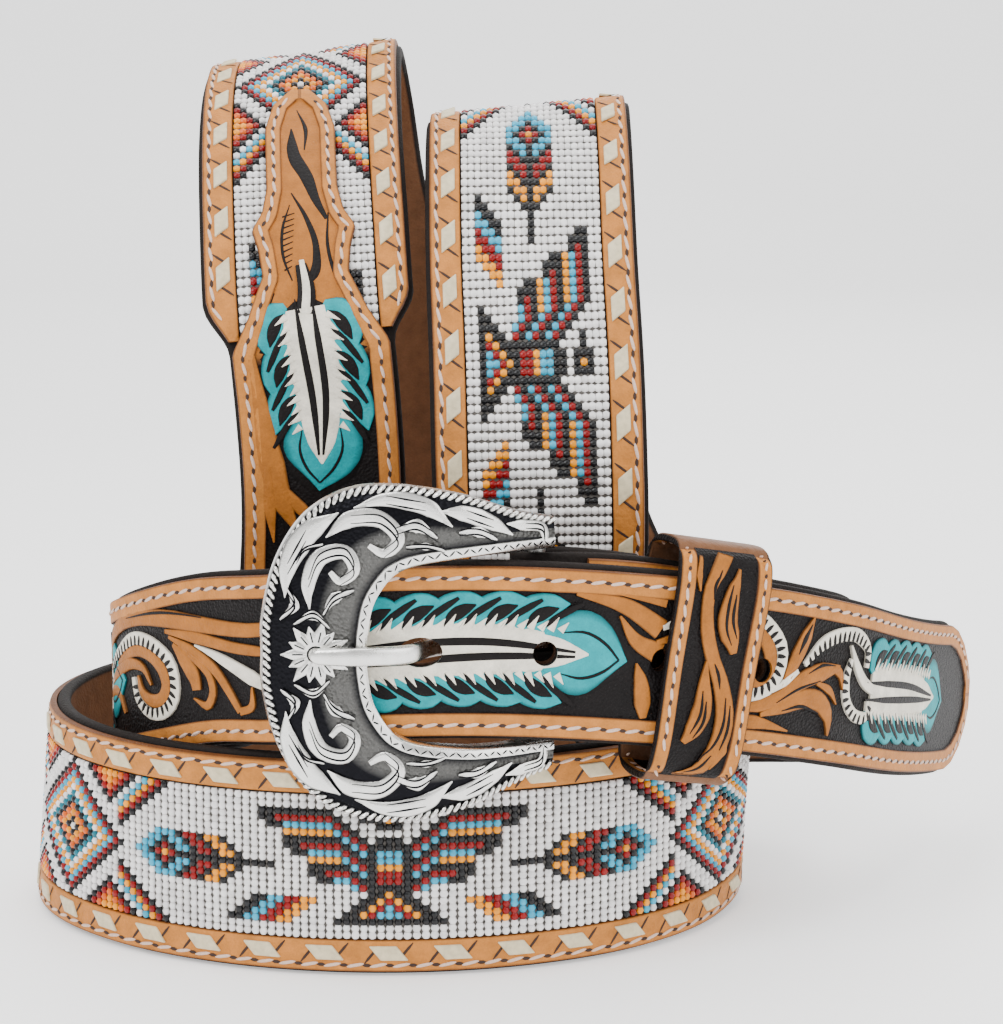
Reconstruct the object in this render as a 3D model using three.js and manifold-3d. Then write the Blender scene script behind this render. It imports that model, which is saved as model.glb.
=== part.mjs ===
// A beaded western belt, stacked as it is laid out: the front strap buckled over the wide band,
// which stands on its lower edge, and two loops of the belt rising behind the buckle.
// Millimetres, +Z up, -Y towards the viewer. The belt's outer face is the side away from the lining.
import * as THREE from 'three';
import Module from 'manifold-3d';

const wasm = await Module();
wasm.setup();

// Leather widths and thicknesses.
const NARROW_WIDTH = 38;
const WIDE_WIDTH = 48.5;
const BASE_THICKNESS = 3;
const FACE_THICKNESS = 1.6;
const TAB_THICKNESS = 1.4;
const BEAD_THICKNESS = 1.9;
const BORDER_WIDTH = 7.1;
const EDGE_REVEAL = 1;
const SEAM_SHARE = 0.95;
const FIT_GAP = 0.3;

// Lengths along the belt, from the tip or from the heel bar.
const TIP_POINT_LENGTH = 26;
const TIP_END_WIDTH = 7;
const TIP_BILLET_LENGTH = 452;
const BUCKLE_BILLET_LENGTH = 190;
const SHOULDER_LENGTH = 12;
const TAB_LENGTH = 72;
const TAB_END_WIDTH = 5;
const FACE_RISE_LENGTH = 12;
const HEEL_FACE_SETBACK = 9;
const FOLD_BACK_LENGTH = 20;

// Punched holes.
const HOLE_DIAMETER = 5.3;
const HOLE_IN_USE_LENGTH = 9.2;
const HOLE_IN_USE_HEIGHT = 6.4;
const HOLE_PITCH = 25.4;
const HOLE_COUNT = 5;
const HOLE_IN_USE = 4;
const BAR_TO_HOLE_IN_USE = 26;

// The stack: how the belt is coiled and looped.
const COIL_WIDTH = 166;
const COIL_DEPTH = 128;
const STRAP_GAP = 6.5;
const LOOP_HEIGHT = 196.5;
const ROUTE_STEP = 2;
const ROUTE_EASING = 12;
const STATION_TURN = 0.16;
const STATION_LEAST = 2.4;
const STATION_MOST = 16;

// The keeper loop.
const BAR_TO_KEEPER = 34.5;
const KEEPER_WIDTH = 22;
const KEEPER_THICKNESS = 1.8;
const KEEPER_HEIGHT = 51;
const KEEPER_CLEARANCE = 0.7;
const KEEPER_STEPS = 40;

// The buckle.
const BUCKLE_LENGTH = 62;
const BUCKLE_HEIGHT = 71;
const BUCKLE_THICKNESS = 4.2;
const BUCKLE_BOW = 11.5;
const WINDOW_CLEARANCE = 1.4;
const BAR_RADIUS = 2.2;
const LUG_HEIGHT = 3;
const LUG_LENGTH = 5;
const TONGUE_WIDTH = 4;
const TONGUE_THICKNESS = 2.4;
const TONGUE_LEAN = THREE.MathUtils.degToRad(62);
const TONGUE_END_ALONG = 0.15;
const TONGUE_TIP_SHARE = 0.6;
const TONGUE_STEPS = 36;

const STRAP_LEVEL = WIDE_WIDTH + STRAP_GAP + NARROW_WIDTH / 2;
const FACE_BASE = BASE_THICKNESS / 2 + FIT_GAP;
const FACE_TOP = FACE_BASE + FACE_THICKNESS;
const BEAD_TOP = FACE_BASE + BEAD_THICKNESS;
const TAB_BASE = BEAD_TOP + FIT_GAP;
const TAB_TOP = TAB_BASE + TAB_THICKNESS;
const BORDER_INNER = WIDE_WIDTH / 2 - EDGE_REVEAL - BORDER_WIDTH;
const PANEL_HALF_WIDTH = BORDER_INNER - FIT_GAP;

// Where the middle of the belt runs, from the tip to the heel bar. x is a share of COIL_WIDTH,
// y a share of COIL_DEPTH, and z a share of the height named under follows. edge points from
// the middle of the belt to its upper edge.
const HEIGHTS = { wide: WIDE_WIDTH, strap: STRAP_LEVEL, loop: LOOP_HEIGHT };
const ROUTE = [
  { place: 'tip', x: 0.711, y: 0.875, follows: 'strap', z: 0.486, edge: [0.0, 0.0, 1] },
  { place: 'tip_curl', x: 0.633, y: 0.625, follows: 'strap', z: 0.568, edge: [0, 0, 1] },
  { place: 'tip_bend', x: 0.548, y: 0.391, follows: 'strap', z: 0.669, edge: [0, 0, 1] },
  { place: 'tip_run', x: 0.452, y: 0.188, follows: 'strap', z: 0.784, edge: [0, 0, 1] },
  { place: 'keeper_run', x: 0.313, y: 0.023, follows: 'strap', z: 0.892, edge: [0, 0, 1] },
  { place: 'front_right', x: 0.163, y: -0.074, follows: 'strap', z: 0.959, edge: [0, 0, 1] },
  { place: 'front_middle', x: 0.0, y: -0.117, follows: 'strap', z: 0.993, edge: [0, 0, 1] },
  { place: 'front_bar', x: -0.163, y: -0.109, follows: 'strap', z: 0.986, edge: [0, 0, 1] },
  { place: 'front_left', x: -0.289, y: -0.031, follows: 'strap', z: 0.939, edge: [0, 0, 1] },
  { place: 'front_inside', x: -0.38, y: 0.07, follows: 'strap', z: 0.9, edge: [0, 0, 1] },
  { place: 'left_turn_in', x: -0.464, y: 0.18, follows: 'strap', z: 0.824, edge: [0, 0, 1] },
  { place: 'left_turn', x: -0.524, y: 0.328, follows: 'strap', z: 0.736, edge: [0, 0, 1] },
  { place: 'left_turn_out', x: -0.518, y: 0.484, follows: 'strap', z: 0.682, edge: [0, 0, 1] },
  { place: 'fold_start', x: -0.434, y: 0.586, follows: 'strap', z: 0.676, edge: [0.02, 0.05, 1] },
  { place: 'fold_quarter', x: -0.349, y: 0.559, follows: 'strap', z: 0.682, edge: [0.15, 0.5, 0.85] },
  { place: 'fold_middle', x: -0.292, y: 0.492, follows: 'strap', z: 0.743, edge: [0.5, 0.7, 0.5] },
  { place: 'fold_end', x: -0.265, y: 0.422, follows: 'strap', z: 0.872, edge: [0.85, 0.5, 0.15] },
  { place: 'left_leg_foot', x: -0.253, y: 0.387, follows: 'loop', z: 0.397, edge: [1, 0.05, 0.0] },
  { place: 'left_leg_low', x: -0.247, y: 0.355, follows: 'loop', z: 0.494, edge: [1, 0, 0.0] },
  { place: 'left_leg_shoulder', x: -0.253, y: 0.344, follows: 'loop', z: 0.601, edge: [1, 0, 0] },
  { place: 'left_leg_lean', x: -0.265, y: 0.367, follows: 'loop', z: 0.702, edge: [1, 0, 0] },
  { place: 'left_leg_high', x: -0.277, y: 0.469, follows: 'loop', z: 0.814, edge: [1, 0, 0] },
  { place: 'left_leg_top', x: -0.289, y: 0.625, follows: 'loop', z: 0.911, edge: [1, 0, 0] },
  { place: 'left_arch_front', x: -0.295, y: 0.805, follows: 'loop', z: 0.982, edge: [1, 0, 0.1] },
  { place: 'left_arch_top', x: -0.295, y: 0.961, follows: 'loop', z: 1.0, edge: [1, 0, 0.16] },
  { place: 'left_arch_back', x: -0.283, y: 1.07, follows: 'loop', z: 0.936, edge: [1, 0.0, 0.2] },
  { place: 'left_back_high', x: -0.259, y: 0.985, follows: 'loop', z: 0.814, edge: [1, 0.0, 0.22] },
  { place: 'left_back', x: -0.211, y: 0.885, follows: 'loop', z: 0.687, edge: [1, 0, 0.25] },
  { place: 'left_back_low', x: -0.133, y: 0.77, follows: 'loop', z: 0.565, edge: [1, 0.0, 0.25] },
  { place: 'under_turn_in', x: -0.042, y: 0.656, follows: 'loop', z: 0.458, edge: [1, 0.1, 0.2] },
  { place: 'under_turn', x: 0.024, y: 0.484, follows: 'loop', z: 0.382, edge: [1, 0.1, 0.05] },
  { place: 'under_turn_out', x: 0.051, y: 0.32, follows: 'loop', z: 0.382, edge: [1, 0.05, 0] },
  { place: 'right_leg_foot', x: 0.054, y: 0.234, follows: 'loop', z: 0.458, edge: [1, 0, 0] },
  { place: 'right_leg_low', x: 0.051, y: 0.23, follows: 'loop', z: 0.555, edge: [1, 0, 0] },
  { place: 'right_leg_middle', x: 0.048, y: 0.281, follows: 'loop', z: 0.651, edge: [1, 0, 0] },
  { place: 'right_leg_high', x: 0.042, y: 0.367, follows: 'loop', z: 0.758, edge: [1, 0, 0] },
  { place: 'right_leg_top', x: 0.039, y: 0.484, follows: 'loop', z: 0.87, edge: [1, 0, 0] },
  { place: 'right_arch_top', x: 0.039, y: 0.656, follows: 'loop', z: 0.936, edge: [1, 0, 0.1] },
  { place: 'right_arch_back', x: 0.045, y: 0.82, follows: 'loop', z: 0.891, edge: [1, 0, 0.1] },
  { place: 'right_back_high', x: 0.051, y: 0.985, follows: 'loop', z: 0.774, edge: [1, 0.0, 0.1] },
  { place: 'right_back', x: 0.054, y: 1.005, follows: 'loop', z: 0.641, edge: [1, 0.0, 0.15] },
  { place: 'right_back_low', x: 0.06, y: 0.98, follows: 'loop', z: 0.514, edge: [0.95, 0.1, 0.3] },
  { place: 'sweep_in', x: 0.084, y: 0.891, follows: 'loop', z: 0.397, edge: [0.75, 0.2, 0.55] },
  { place: 'sweep_middle', x: 0.139, y: 0.805, follows: 'loop', z: 0.3, edge: [0.5, 0.2, 0.8] },
  { place: 'sweep_low', x: 0.217, y: 0.703, follows: 'wide', z: 0.887, edge: [0.25, 0.1, 0.95] },
  { place: 'sweep_out', x: 0.289, y: 0.586, follows: 'wide', z: 0.66, edge: [0.12, 0, 1] },
  { place: 'coil_right', x: 0.334, y: 0.438, follows: 'wide', z: 0.55, edge: [0.06, 0.0, 1] },
  { place: 'coil_right_front', x: 0.292, y: 0.273, follows: 'wide', z: 0.506, edge: [0.03, 0, 1] },
  { place: 'coil_front_right', x: 0.19, y: 0.109, follows: 'wide', z: 0.5, edge: [0, 0, 1] },
  { place: 'coil_front_middle_right', x: 0.012, y: -0.012, follows: 'wide', z: 0.5, edge: [0, 0, 1] },
  { place: 'coil_front_middle', x: -0.169, y: -0.043, follows: 'wide', z: 0.5, edge: [0, 0, 1] },
  { place: 'coil_front_left', x: -0.349, y: 0.0, follows: 'wide', z: 0.5, edge: [0, 0, 1] },
  { place: 'coil_left_front', x: -0.506, y: 0.117, follows: 'wide', z: 0.5, edge: [0.04, 0, 1] },
  { place: 'coil_left_in', x: -0.608, y: 0.289, follows: 'wide', z: 0.5, edge: [0.08, 0, 1] },
  { place: 'coil_left', x: -0.639, y: 0.484, follows: 'wide', z: 0.5, edge: [0.08, 0, 1] },
  { place: 'coil_left_out', x: -0.599, y: 0.68, follows: 'wide', z: 0.5, edge: [0.04, 0, 1] },
  { place: 'coil_back_left', x: -0.506, y: 0.828, follows: 'wide', z: 0.5, edge: [0, 0, 1] },
  { place: 'coil_back_middle_left', x: -0.349, y: 0.898, follows: 'wide', z: 0.5, edge: [0, 0, 1] },
  { place: 'coil_back_middle', x: -0.169, y: 0.93, follows: 'wide', z: 0.526, edge: [0, 0, 1] },
  { place: 'coil_back', x: 0.012, y: 0.941, follows: 'wide', z: 0.598, edge: [0, 0, 1] },
  { place: 'coil_back_right', x: 0.193, y: 0.922, follows: 'wide', z: 0.701, edge: [0, 0, 1] },
  { place: 'coil_rise', x: 0.349, y: 0.836, follows: 'strap', z: 0.514, edge: [0, 0, 1] },
  { place: 'right_turn_in', x: 0.458, y: 0.688, follows: 'strap', z: 0.581, edge: [0, 0, 1] },
  { place: 'right_turn', x: 0.494, y: 0.516, follows: 'strap', z: 0.662, edge: [0, 0, 1] },
  { place: 'right_turn_out', x: 0.47, y: 0.367, follows: 'strap', z: 0.736, edge: [0, 0, 1] },
  { place: 'billet_run', x: 0.398, y: 0.23, follows: 'strap', z: 0.811, edge: [0, 0, 1] },
  { place: 'billet_keeper', x: 0.286, y: 0.082, follows: 'strap', z: 0.899, edge: [0, 0, 1] },
  { place: 'billet_front', x: 0.148, y: -0.016, follows: 'strap', z: 0.98, edge: [0, 0, 1] },
  { place: 'heel_lead', x: 0.096, y: -0.034, follows: 'strap', z: 0.993, edge: [0, 0, 1] },
  { place: 'heel', x: 0.048, y: -0.047, follows: 'strap', z: 0.993, edge: [0, 0, 1] },
];

// Half width of the leather near the tip: shares of TIP_POINT_LENGTH and of the narrow half width.
const TIP_OUTLINE = [
  { along: 0, half: TIP_END_WIDTH / NARROW_WIDTH },
  { along: 0.16, half: 0.5 },
  { along: 0.4, half: 0.76 },
  { along: 0.7, half: 0.93 },
  { along: 1, half: 1 },
];

// Outline of the ornamental tab: shares of TAB_LENGTH and of the narrow half width.
const TAB_OUTLINE = [
  { place: 'shoulder', along: 0, half: 1 - (2 * EDGE_REVEAL) / NARROW_WIDTH },
  { place: 'flare', along: 0.1, half: 0.72 },
  { place: 'waist', along: 0.22, half: 0.52 },
  { place: 'below_point', along: 0.31, half: 0.56 },
  { place: 'point', along: 0.38, half: 0.63 },
  { place: 'above_point', along: 0.44, half: 0.5 },
  { place: 'neck', along: 0.53, half: 0.435 },
  { place: 'neck_end', along: 0.8, half: 0.435 },
  { place: 'round', along: 0.92, half: 0.34 },
  { place: 'apex', along: 1, half: TAB_END_WIDTH / NARROW_WIDTH },
];

// The keeper's loop: depth is a share of its depth and height a share of KEEPER_HEIGHT / 2,
// both from the middle of the loop, front first.
const KEEPER_LOOP = [
  { place: 'front_low', depth: -0.5, height: -0.76 },
  { place: 'front', depth: -0.5, height: 0 },
  { place: 'front_high', depth: -0.5, height: 0.76 },
  { place: 'top_front', depth: -0.38, height: 0.96 },
  { place: 'top', depth: 0, height: 1 },
  { place: 'top_back', depth: 0.4, height: 0.95 },
  { place: 'back_high', depth: 0.5, height: 0.8 },
  { place: 'back', depth: 0.5, height: 0 },
  { place: 'back_low', depth: 0.5, height: -0.8 },
  { place: 'bottom_back', depth: 0.4, height: -0.95 },
  { place: 'bottom', depth: 0, height: -1 },
  { place: 'bottom_front', depth: -0.38, height: -0.96 },
];

// Upper half of the buckle from the end of the arm to the middle of the side, mirrored below.
// along is a share of BUCKLE_LENGTH from the outer side, rise a share of the half height of the
// outer edge, and inner_rise of the window.
const BUCKLE_OUTLINE = [
  { place: 'arm_end', along: 1, rise: 0.76, inner_along: 1, inner_rise: 1 },
  { place: 'arm', along: 0.86, rise: 0.82, inner_along: 0.86, inner_rise: 1 },
  { place: 'arm_swell', along: 0.655, rise: 0.94, inner_along: 0.69, inner_rise: 0.985 },
  { place: 'arm_root', along: 0.45, rise: 1, inner_along: 0.53, inner_rise: 0.93 },
  { place: 'corner_high', along: 0.284, rise: 0.97, inner_along: 0.455, inner_rise: 0.86 },
  { place: 'corner', along: 0.145, rise: 0.82, inner_along: 0.41, inner_rise: 0.74 },
  { place: 'side_high', along: 0.05, rise: 0.554, inner_along: 0.366, inner_rise: 0.5 },
  { place: 'side', along: 0.003, rise: 0.226, inner_along: 0.348, inner_rise: 0.2 },
  { place: 'side_middle', along: 0, rise: 0, inner_along: 0.345, inner_rise: 0 },
];
const BUCKLE_STEPS = 3;

// How far the buckle's curved back stands in front of the heel bar, a share of BUCKLE_BOW.
const BUCKLE_CURVE = [
  { along: 0, bow: 0.32 },
  { along: 0.15, bow: 0.46 },
  { along: 0.345, bow: 0.7 },
  { along: 0.455, bow: 0.92 },
  { along: 0.56, bow: 1 },
  { along: 0.7, bow: 0.95 },
  { along: 0.86, bow: 0.66 },
  { along: 1, bow: 0.32 },
];

// Domed cross-section of the buckle: shares of its width and thickness, back face first.
const BUCKLE_PROFILE = [
  { across: 0, height: 0 },
  { across: 0, height: 0.45 },
  { across: 0.08, height: 0.85 },
  { across: 0.3, height: 1 },
  { across: 0.7, height: 1 },
  { across: 0.92, height: 0.85 },
  { across: 1, height: 0.45 },
  { across: 1, height: 0 },
];

// Cross-section of the tongue: shares of its half width and half thickness, domed in front.
const TONGUE_PROFILE = [
  { across: -1, height: -1 },
  { across: 1, height: -1 },
  { across: 1, height: 0.2 },
  { across: 0.6, height: 1 },
  { across: -0.6, height: 1 },
  { across: -1, height: 0.2 },
];

// Cubic through the rows of a table, with the slopes of the neighbouring rows.
function cubicThrough(values, knots, at) {
  const last = values.length - 1;
  const slope = (i) => {
    if (i === 0) return (values[1] - values[0]) / (knots[1] - knots[0]);
    if (i === last) return (values[last] - values[last - 1]) / (knots[last] - knots[last - 1]);
    const before = (values[i] - values[i - 1]) / (knots[i] - knots[i - 1]);
    const after = (values[i + 1] - values[i]) / (knots[i + 1] - knots[i]);
    const weight = (knots[i] - knots[i - 1]) / (knots[i + 1] - knots[i - 1]);
    return before * (1 - weight) + after * weight;
  };
  let i = 0;
  while (i < last - 1 && at > knots[i + 1]) i += 1;
  const span = knots[i + 1] - knots[i];
  const t = (at - knots[i]) / span;
  const ease = t * t * (3 - 2 * t);
  const lead = t * (1 - t) * (1 - t) * span * slope(i);
  const trail = t * t * (t - 1) * span * slope(i + 1);
  return values[i] * (1 - ease) + values[i + 1] * ease + lead + trail;
}

// Straight lines between the rows of a table.
function linearThrough(rows, key, value, at) {
  if (at <= rows[0][key]) return rows[0][value];
  for (let i = 1; i < rows.length; i += 1) {
    if (at <= rows[i][key]) {
      const share = (at - rows[i - 1][key]) / (rows[i][key] - rows[i - 1][key]);
      return rows[i - 1][value] + share * (rows[i][value] - rows[i - 1][value]);
    }
  }
  return rows[rows.length - 1][value];
}

function vectorThrough(vectors, knots, at) {
  const part = (axis) => cubicThrough(vectors.map((v) => v[axis]), knots, at);
  return new THREE.Vector3(part('x'), part('y'), part('z'));
}

function runningLength(points) {
  const lengths = [0];
  for (let i = 1; i < points.length; i += 1) {
    lengths.push(lengths[i - 1] + points[i].distanceTo(points[i - 1]));
  }
  return lengths;
}

function eased(vectors) {
  return vectors.map((v, i) => {
    if (i === 0 || i === vectors.length - 1) return v.clone();
    return v.clone().multiplyScalar(2).add(vectors[i - 1]).add(vectors[i + 1]).divideScalar(4);
  });
}

// The belt's middle line as evenly spaced frames: point, along (tip to heel), edge and out.
function beltLine() {
  const rows = ROUTE.map((row) => ({
    point: new THREE.Vector3(row.x * COIL_WIDTH, row.y * COIL_DEPTH, row.z * HEIGHTS[row.follows]),
    edge: new THREE.Vector3(...row.edge).normalize(),
  }));
  const knots = runningLength(rows.map((row) => row.point));
  const total = knots[knots.length - 1];
  const count = Math.round(total / ROUTE_STEP);
  let points = [];
  let edges = [];
  for (let i = 0; i <= count; i += 1) {
    const at = (total * i) / count;
    points.push(vectorThrough(rows.map((row) => row.point), knots, at));
    edges.push(vectorThrough(rows.map((row) => row.edge), knots, at));
  }
  for (let pass = 0; pass < ROUTE_EASING; pass += 1) {
    points = eased(points);
    edges = eased(edges);
  }
  const lengths = runningLength(points);
  const frames = points.map((point, i) => {
    const before = points[Math.max(i - 1, 0)];
    const after = points[Math.min(i + 1, points.length - 1)];
    const along = after.clone().sub(before).normalize();
    const edge = edges[i].clone().addScaledVector(along, -edges[i].dot(along)).normalize();
    const out = edge.clone().cross(along);
    return { at: lengths[i], point, along, edge, out };
  });
  return frames;
}

const LINE = beltLine();
const BELT_LENGTH = LINE[LINE.length - 1].at;

function frameAt(at) {
  let i = 1;
  while (i < LINE.length - 1 && LINE[i].at < at) i += 1;
  const [a, b] = [LINE[i - 1], LINE[i]];
  const share = THREE.MathUtils.clamp((at - a.at) / (b.at - a.at), 0, 1);
  const mix = (key) => a[key].clone().lerp(b[key], share);
  const along = mix('along').normalize();
  const edge = mix('edge');
  edge.addScaledVector(along, -edge.dot(along)).normalize();
  return { at, point: mix('point'), along, edge, out: edge.clone().cross(along) };
}

// A point given by its distances across the belt and out from its middle.
function place(frame, across, out) {
  return frame.point.clone().addScaledVector(frame.edge, across).addScaledVector(frame.out, out);
}

const TIP_SHOULDER = TIP_BILLET_LENGTH;
const BUCKLE_SHOULDER = BELT_LENGTH - BUCKLE_BILLET_LENGTH;
const PANEL_START = TIP_SHOULDER + SHOULDER_LENGTH / 4;
const PANEL_END = BUCKLE_SHOULDER - SHOULDER_LENGTH / 4;

function smoothShare(at, from, to) {
  return THREE.MathUtils.smoothstep(at, from, to);
}

function beltHalfWidth(at) {
  const narrow = NARROW_WIDTH / 2;
  if (at < TIP_POINT_LENGTH) {
    return narrow * linearThrough(TIP_OUTLINE, 'along', 'half', at / TIP_POINT_LENGTH);
  }
  const widening = smoothShare(at, TIP_SHOULDER, TIP_SHOULDER + SHOULDER_LENGTH);
  const narrowing = smoothShare(at, BUCKLE_SHOULDER - SHOULDER_LENGTH, BUCKLE_SHOULDER);
  return narrow + (WIDE_WIDTH / 2 - narrow) * (widening - narrowing);
}

// Half width of a billet's face, counted from its shoulder along its tab.
function tabHalfWidth(fromShoulder) {
  const share = THREE.MathUtils.clamp(fromShoulder / TAB_LENGTH, 0, 1);
  return (NARROW_WIDTH / 2) * linearThrough(TAB_OUTLINE, 'along', 'half', share);
}

// Stations shared by all the leather, closer together where the belt bends or its outline turns.
function stationList() {
  const tightest = (frame, next) => frame.along.angleTo(next.along) + frame.edge.angleTo(next.edge);
  const stations = [0];
  let turned = 0;
  for (let i = 1; i < LINE.length - 1; i += 1) {
    turned += tightest(LINE[i - 1], LINE[i]);
    const since = LINE[i].at - stations[stations.length - 1];
    if ((turned > STATION_TURN && since > STATION_LEAST) || since > STATION_MOST) {
      stations.push(LINE[i].at);
      turned = 0;
    }
  }
  stations.push(BELT_LENGTH);
  const marks = [];
  for (const row of TIP_OUTLINE) marks.push(row.along * TIP_POINT_LENGTH);
  for (const row of TAB_OUTLINE) {
    marks.push(TIP_SHOULDER + row.along * TAB_LENGTH);
    marks.push(BUCKLE_SHOULDER - row.along * TAB_LENGTH);
  }
  for (const share of [0.25, 0.5, 0.75, 1]) {
    marks.push(TIP_SHOULDER + share * SHOULDER_LENGTH);
    marks.push(BUCKLE_SHOULDER - share * SHOULDER_LENGTH);
  }
  for (const step of [1, 2]) {
    marks.push(PANEL_START - step * FIT_GAP);
    marks.push(PANEL_END + step * FIT_GAP);
  }
  marks.push(EDGE_REVEAL, TIP_SHOULDER - FACE_RISE_LENGTH, BUCKLE_SHOULDER + FACE_RISE_LENGTH);
  marks.push(BELT_LENGTH - HEEL_FACE_SETBACK);
  const kept = stations.filter((at) => marks.every((mark) => Math.abs(mark - at) > STATION_LEAST / 2));
  return [...new Set([...kept, ...marks])].sort((a, b) => a - b);
}

const STATIONS = stationList();

function stationsBetween(from, to) {
  const inside = STATIONS.filter((at) => at > from + 1e-6 && at < to - 1e-6);
  return [from, ...inside, to];
}

// One closed solid through sections that all have the same number of corners. Every quad is split
// from its first corner; the first few are split the other way, so that the inner side of a layer
// folds along the same diagonals as its outer side.
function loft(sections, { closed = false, turned = 0 } = {}) {
  const corners = sections[0].length;
  const positions = sections.flat().flatMap((p) => [p.x, p.y, p.z]);
  const triangles = [];
  const spans = closed ? sections.length : sections.length - 1;
  for (let i = 0; i < spans; i += 1) {
    const next = (i + 1) % sections.length;
    for (let j = 0; j < corners; j += 1) {
      const k = (j + 1) % corners;
      const [a, b, c, d] = [i * corners + j, i * corners + k, next * corners + k, next * corners + j];
      if (j < turned) triangles.push(a, b, d, b, c, d);
      else triangles.push(a, b, c, a, c, d);
    }
  }
  if (!closed) {
    const end = (sections.length - 1) * corners;
    for (let j = 1; j < corners - 1; j += 1) {
      triangles.push(0, j + 1, j);
      triangles.push(end, end + j, end + j + 1);
    }
  }
  return facingOut(positions, triangles);
}

function facingOut(positions, triangles) {
  const corner = (i) => new THREE.Vector3().fromArray(positions, triangles[i] * 3);
  let volume = 0;
  for (let i = 0; i < triangles.length; i += 3) {
    volume += corner(i).dot(corner(i + 1).cross(corner(i + 2)));
  }
  if (volume < 0) triangles.reverse();
  const geometry = new THREE.BufferGeometry();
  geometry.setAttribute('position', new THREE.Float32BufferAttribute(positions, 3));
  geometry.setIndex(triangles);
  return geometry;
}

function toSolid(geometry) {
  const indexed = geometry.index ? geometry : null;
  const vertProperties = new Float32Array(geometry.getAttribute('position').array);
  const triVerts = indexed
    ? new Uint32Array(geometry.index.array)
    : new Uint32Array(vertProperties.length / 3).map((_, i) => i);
  const mesh = new wasm.Mesh({ numProp: 3, vertProperties, triVerts });
  mesh.merge();
  return new wasm.Manifold(mesh);
}

function toGeometry(solid) {
  const mesh = solid.getMesh();
  const geometry = new THREE.BufferGeometry();
  const positions = new Float32Array(mesh.numVert * 3);
  for (let i = 0; i < mesh.numVert; i += 1) {
    for (let axis = 0; axis < 3; axis += 1) {
      positions[i * 3 + axis] = mesh.vertProperties[i * mesh.numProp + axis];
    }
  }
  geometry.setAttribute('position', new THREE.BufferAttribute(positions, 3));
  geometry.setIndex(new THREE.BufferAttribute(new Uint32Array(mesh.triVerts), 1));
  return geometry;
}

// A solid whose own X, Y and Z lie along the given directions at a point.
function placed(geometry, xAxis, yAxis, zAxis, origin) {
  const matrix = new THREE.Matrix4().makeBasis(xAxis, yAxis, zAxis).setPosition(origin);
  return toSolid(geometry.clone().applyMatrix4(matrix));
}

// The corners of a layer: its breaks across the belt on the inner side, then back on the outer side.
function layerCorners(frame, breaks, inner, outer) {
  const innerCorners = breaks.map((across) => place(frame, across, inner));
  const outerCorners = breaks.map((across) => place(frame, across, outer));
  return [...innerCorners, ...outerCorners.reverse()];
}

// Leather between two stations: low and high are across the belt, inner and outer are out from it.
function ribbon(from, to, section) {
  const sections = stationsBetween(from, to).map((at) => {
    const { low, high, inner, outer } = section(at);
    return layerCorners(frameAt(at), [low, high], inner, outer);
  });
  return loft(sections, { turned: 1 });
}

// The heel bar stands behind the end of the belt line, which wraps round it and runs back.
const HEEL = frameAt(BELT_LENGTH);
const WRAP_RADIUS = BAR_RADIUS + FIT_GAP + BASE_THICKNESS / 2;
const BAR_CENTRE = HEEL.point.clone().addScaledVector(HEEL.out, -WRAP_RADIUS);
const WRAP_STEPS = 8;

function heelWrapFrames() {
  const frames = [];
  for (let i = 1; i <= WRAP_STEPS; i += 1) {
    const turn = (Math.PI * i) / WRAP_STEPS;
    const out = HEEL.out.clone().applyAxisAngle(HEEL.edge, -turn);
    const point = BAR_CENTRE.clone().addScaledVector(out, WRAP_RADIUS);
    frames.push({ point, edge: HEEL.edge, out });
  }
  const layerGap = BASE_THICKNESS + FIT_GAP;
  for (const share of [0.3, 0.6, 1]) {
    const frame = frameAt(BELT_LENGTH - share * FOLD_BACK_LENGTH);
    const behind = layerGap + (2 * WRAP_RADIUS - layerGap) * (1 - smoothShare(share, 0.1, 1));
    const point = frame.point.clone().addScaledVector(frame.out, -behind);
    frames.push({ point, edge: frame.edge, out: frame.out.clone().negate() });
  }
  return frames;
}

// Where the front strap lies at a distance past the heel bar, measured towards the buckle's side.
function frontStrapAt(pastBar) {
  const distance = (frame) => frame.point.clone().sub(BAR_CENTRE).dot(HEEL.along);
  const i = LINE.findIndex((frame) => distance(frame) > pastBar);
  const [before, after] = [distance(LINE[i - 1]), distance(LINE[i])];
  const share = (pastBar - before) / (after - before);
  return LINE[i - 1].at + share * (LINE[i].at - LINE[i - 1].at);
}

const HOLE_IN_USE_AT = frontStrapAt(BAR_TO_HOLE_IN_USE);
const KEEPER_AT = frontStrapAt(-BAR_TO_KEEPER);

function holePositions() {
  return Array.from({ length: HOLE_COUNT }, (_, i) => HOLE_IN_USE_AT + (i + 1 - HOLE_IN_USE) * HOLE_PITCH);
}

function punchHoles(solid) {
  return holePositions().reduce((left, at) => {
    const frame = frameAt(at);
    const inUse = at === HOLE_IN_USE_AT;
    const reach = 2 * FACE_TOP + FIT_GAP;
    const punch = new THREE.CylinderGeometry(HOLE_DIAMETER / 2, HOLE_DIAMETER / 2, reach, 20);
    if (inUse) punch.scale(HOLE_IN_USE_LENGTH / HOLE_DIAMETER, 1, HOLE_IN_USE_HEIGHT / HOLE_DIAMETER);
    return left.subtract(placed(punch, frame.along, frame.out, frame.edge, frame.point));
  }, solid);
}

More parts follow.
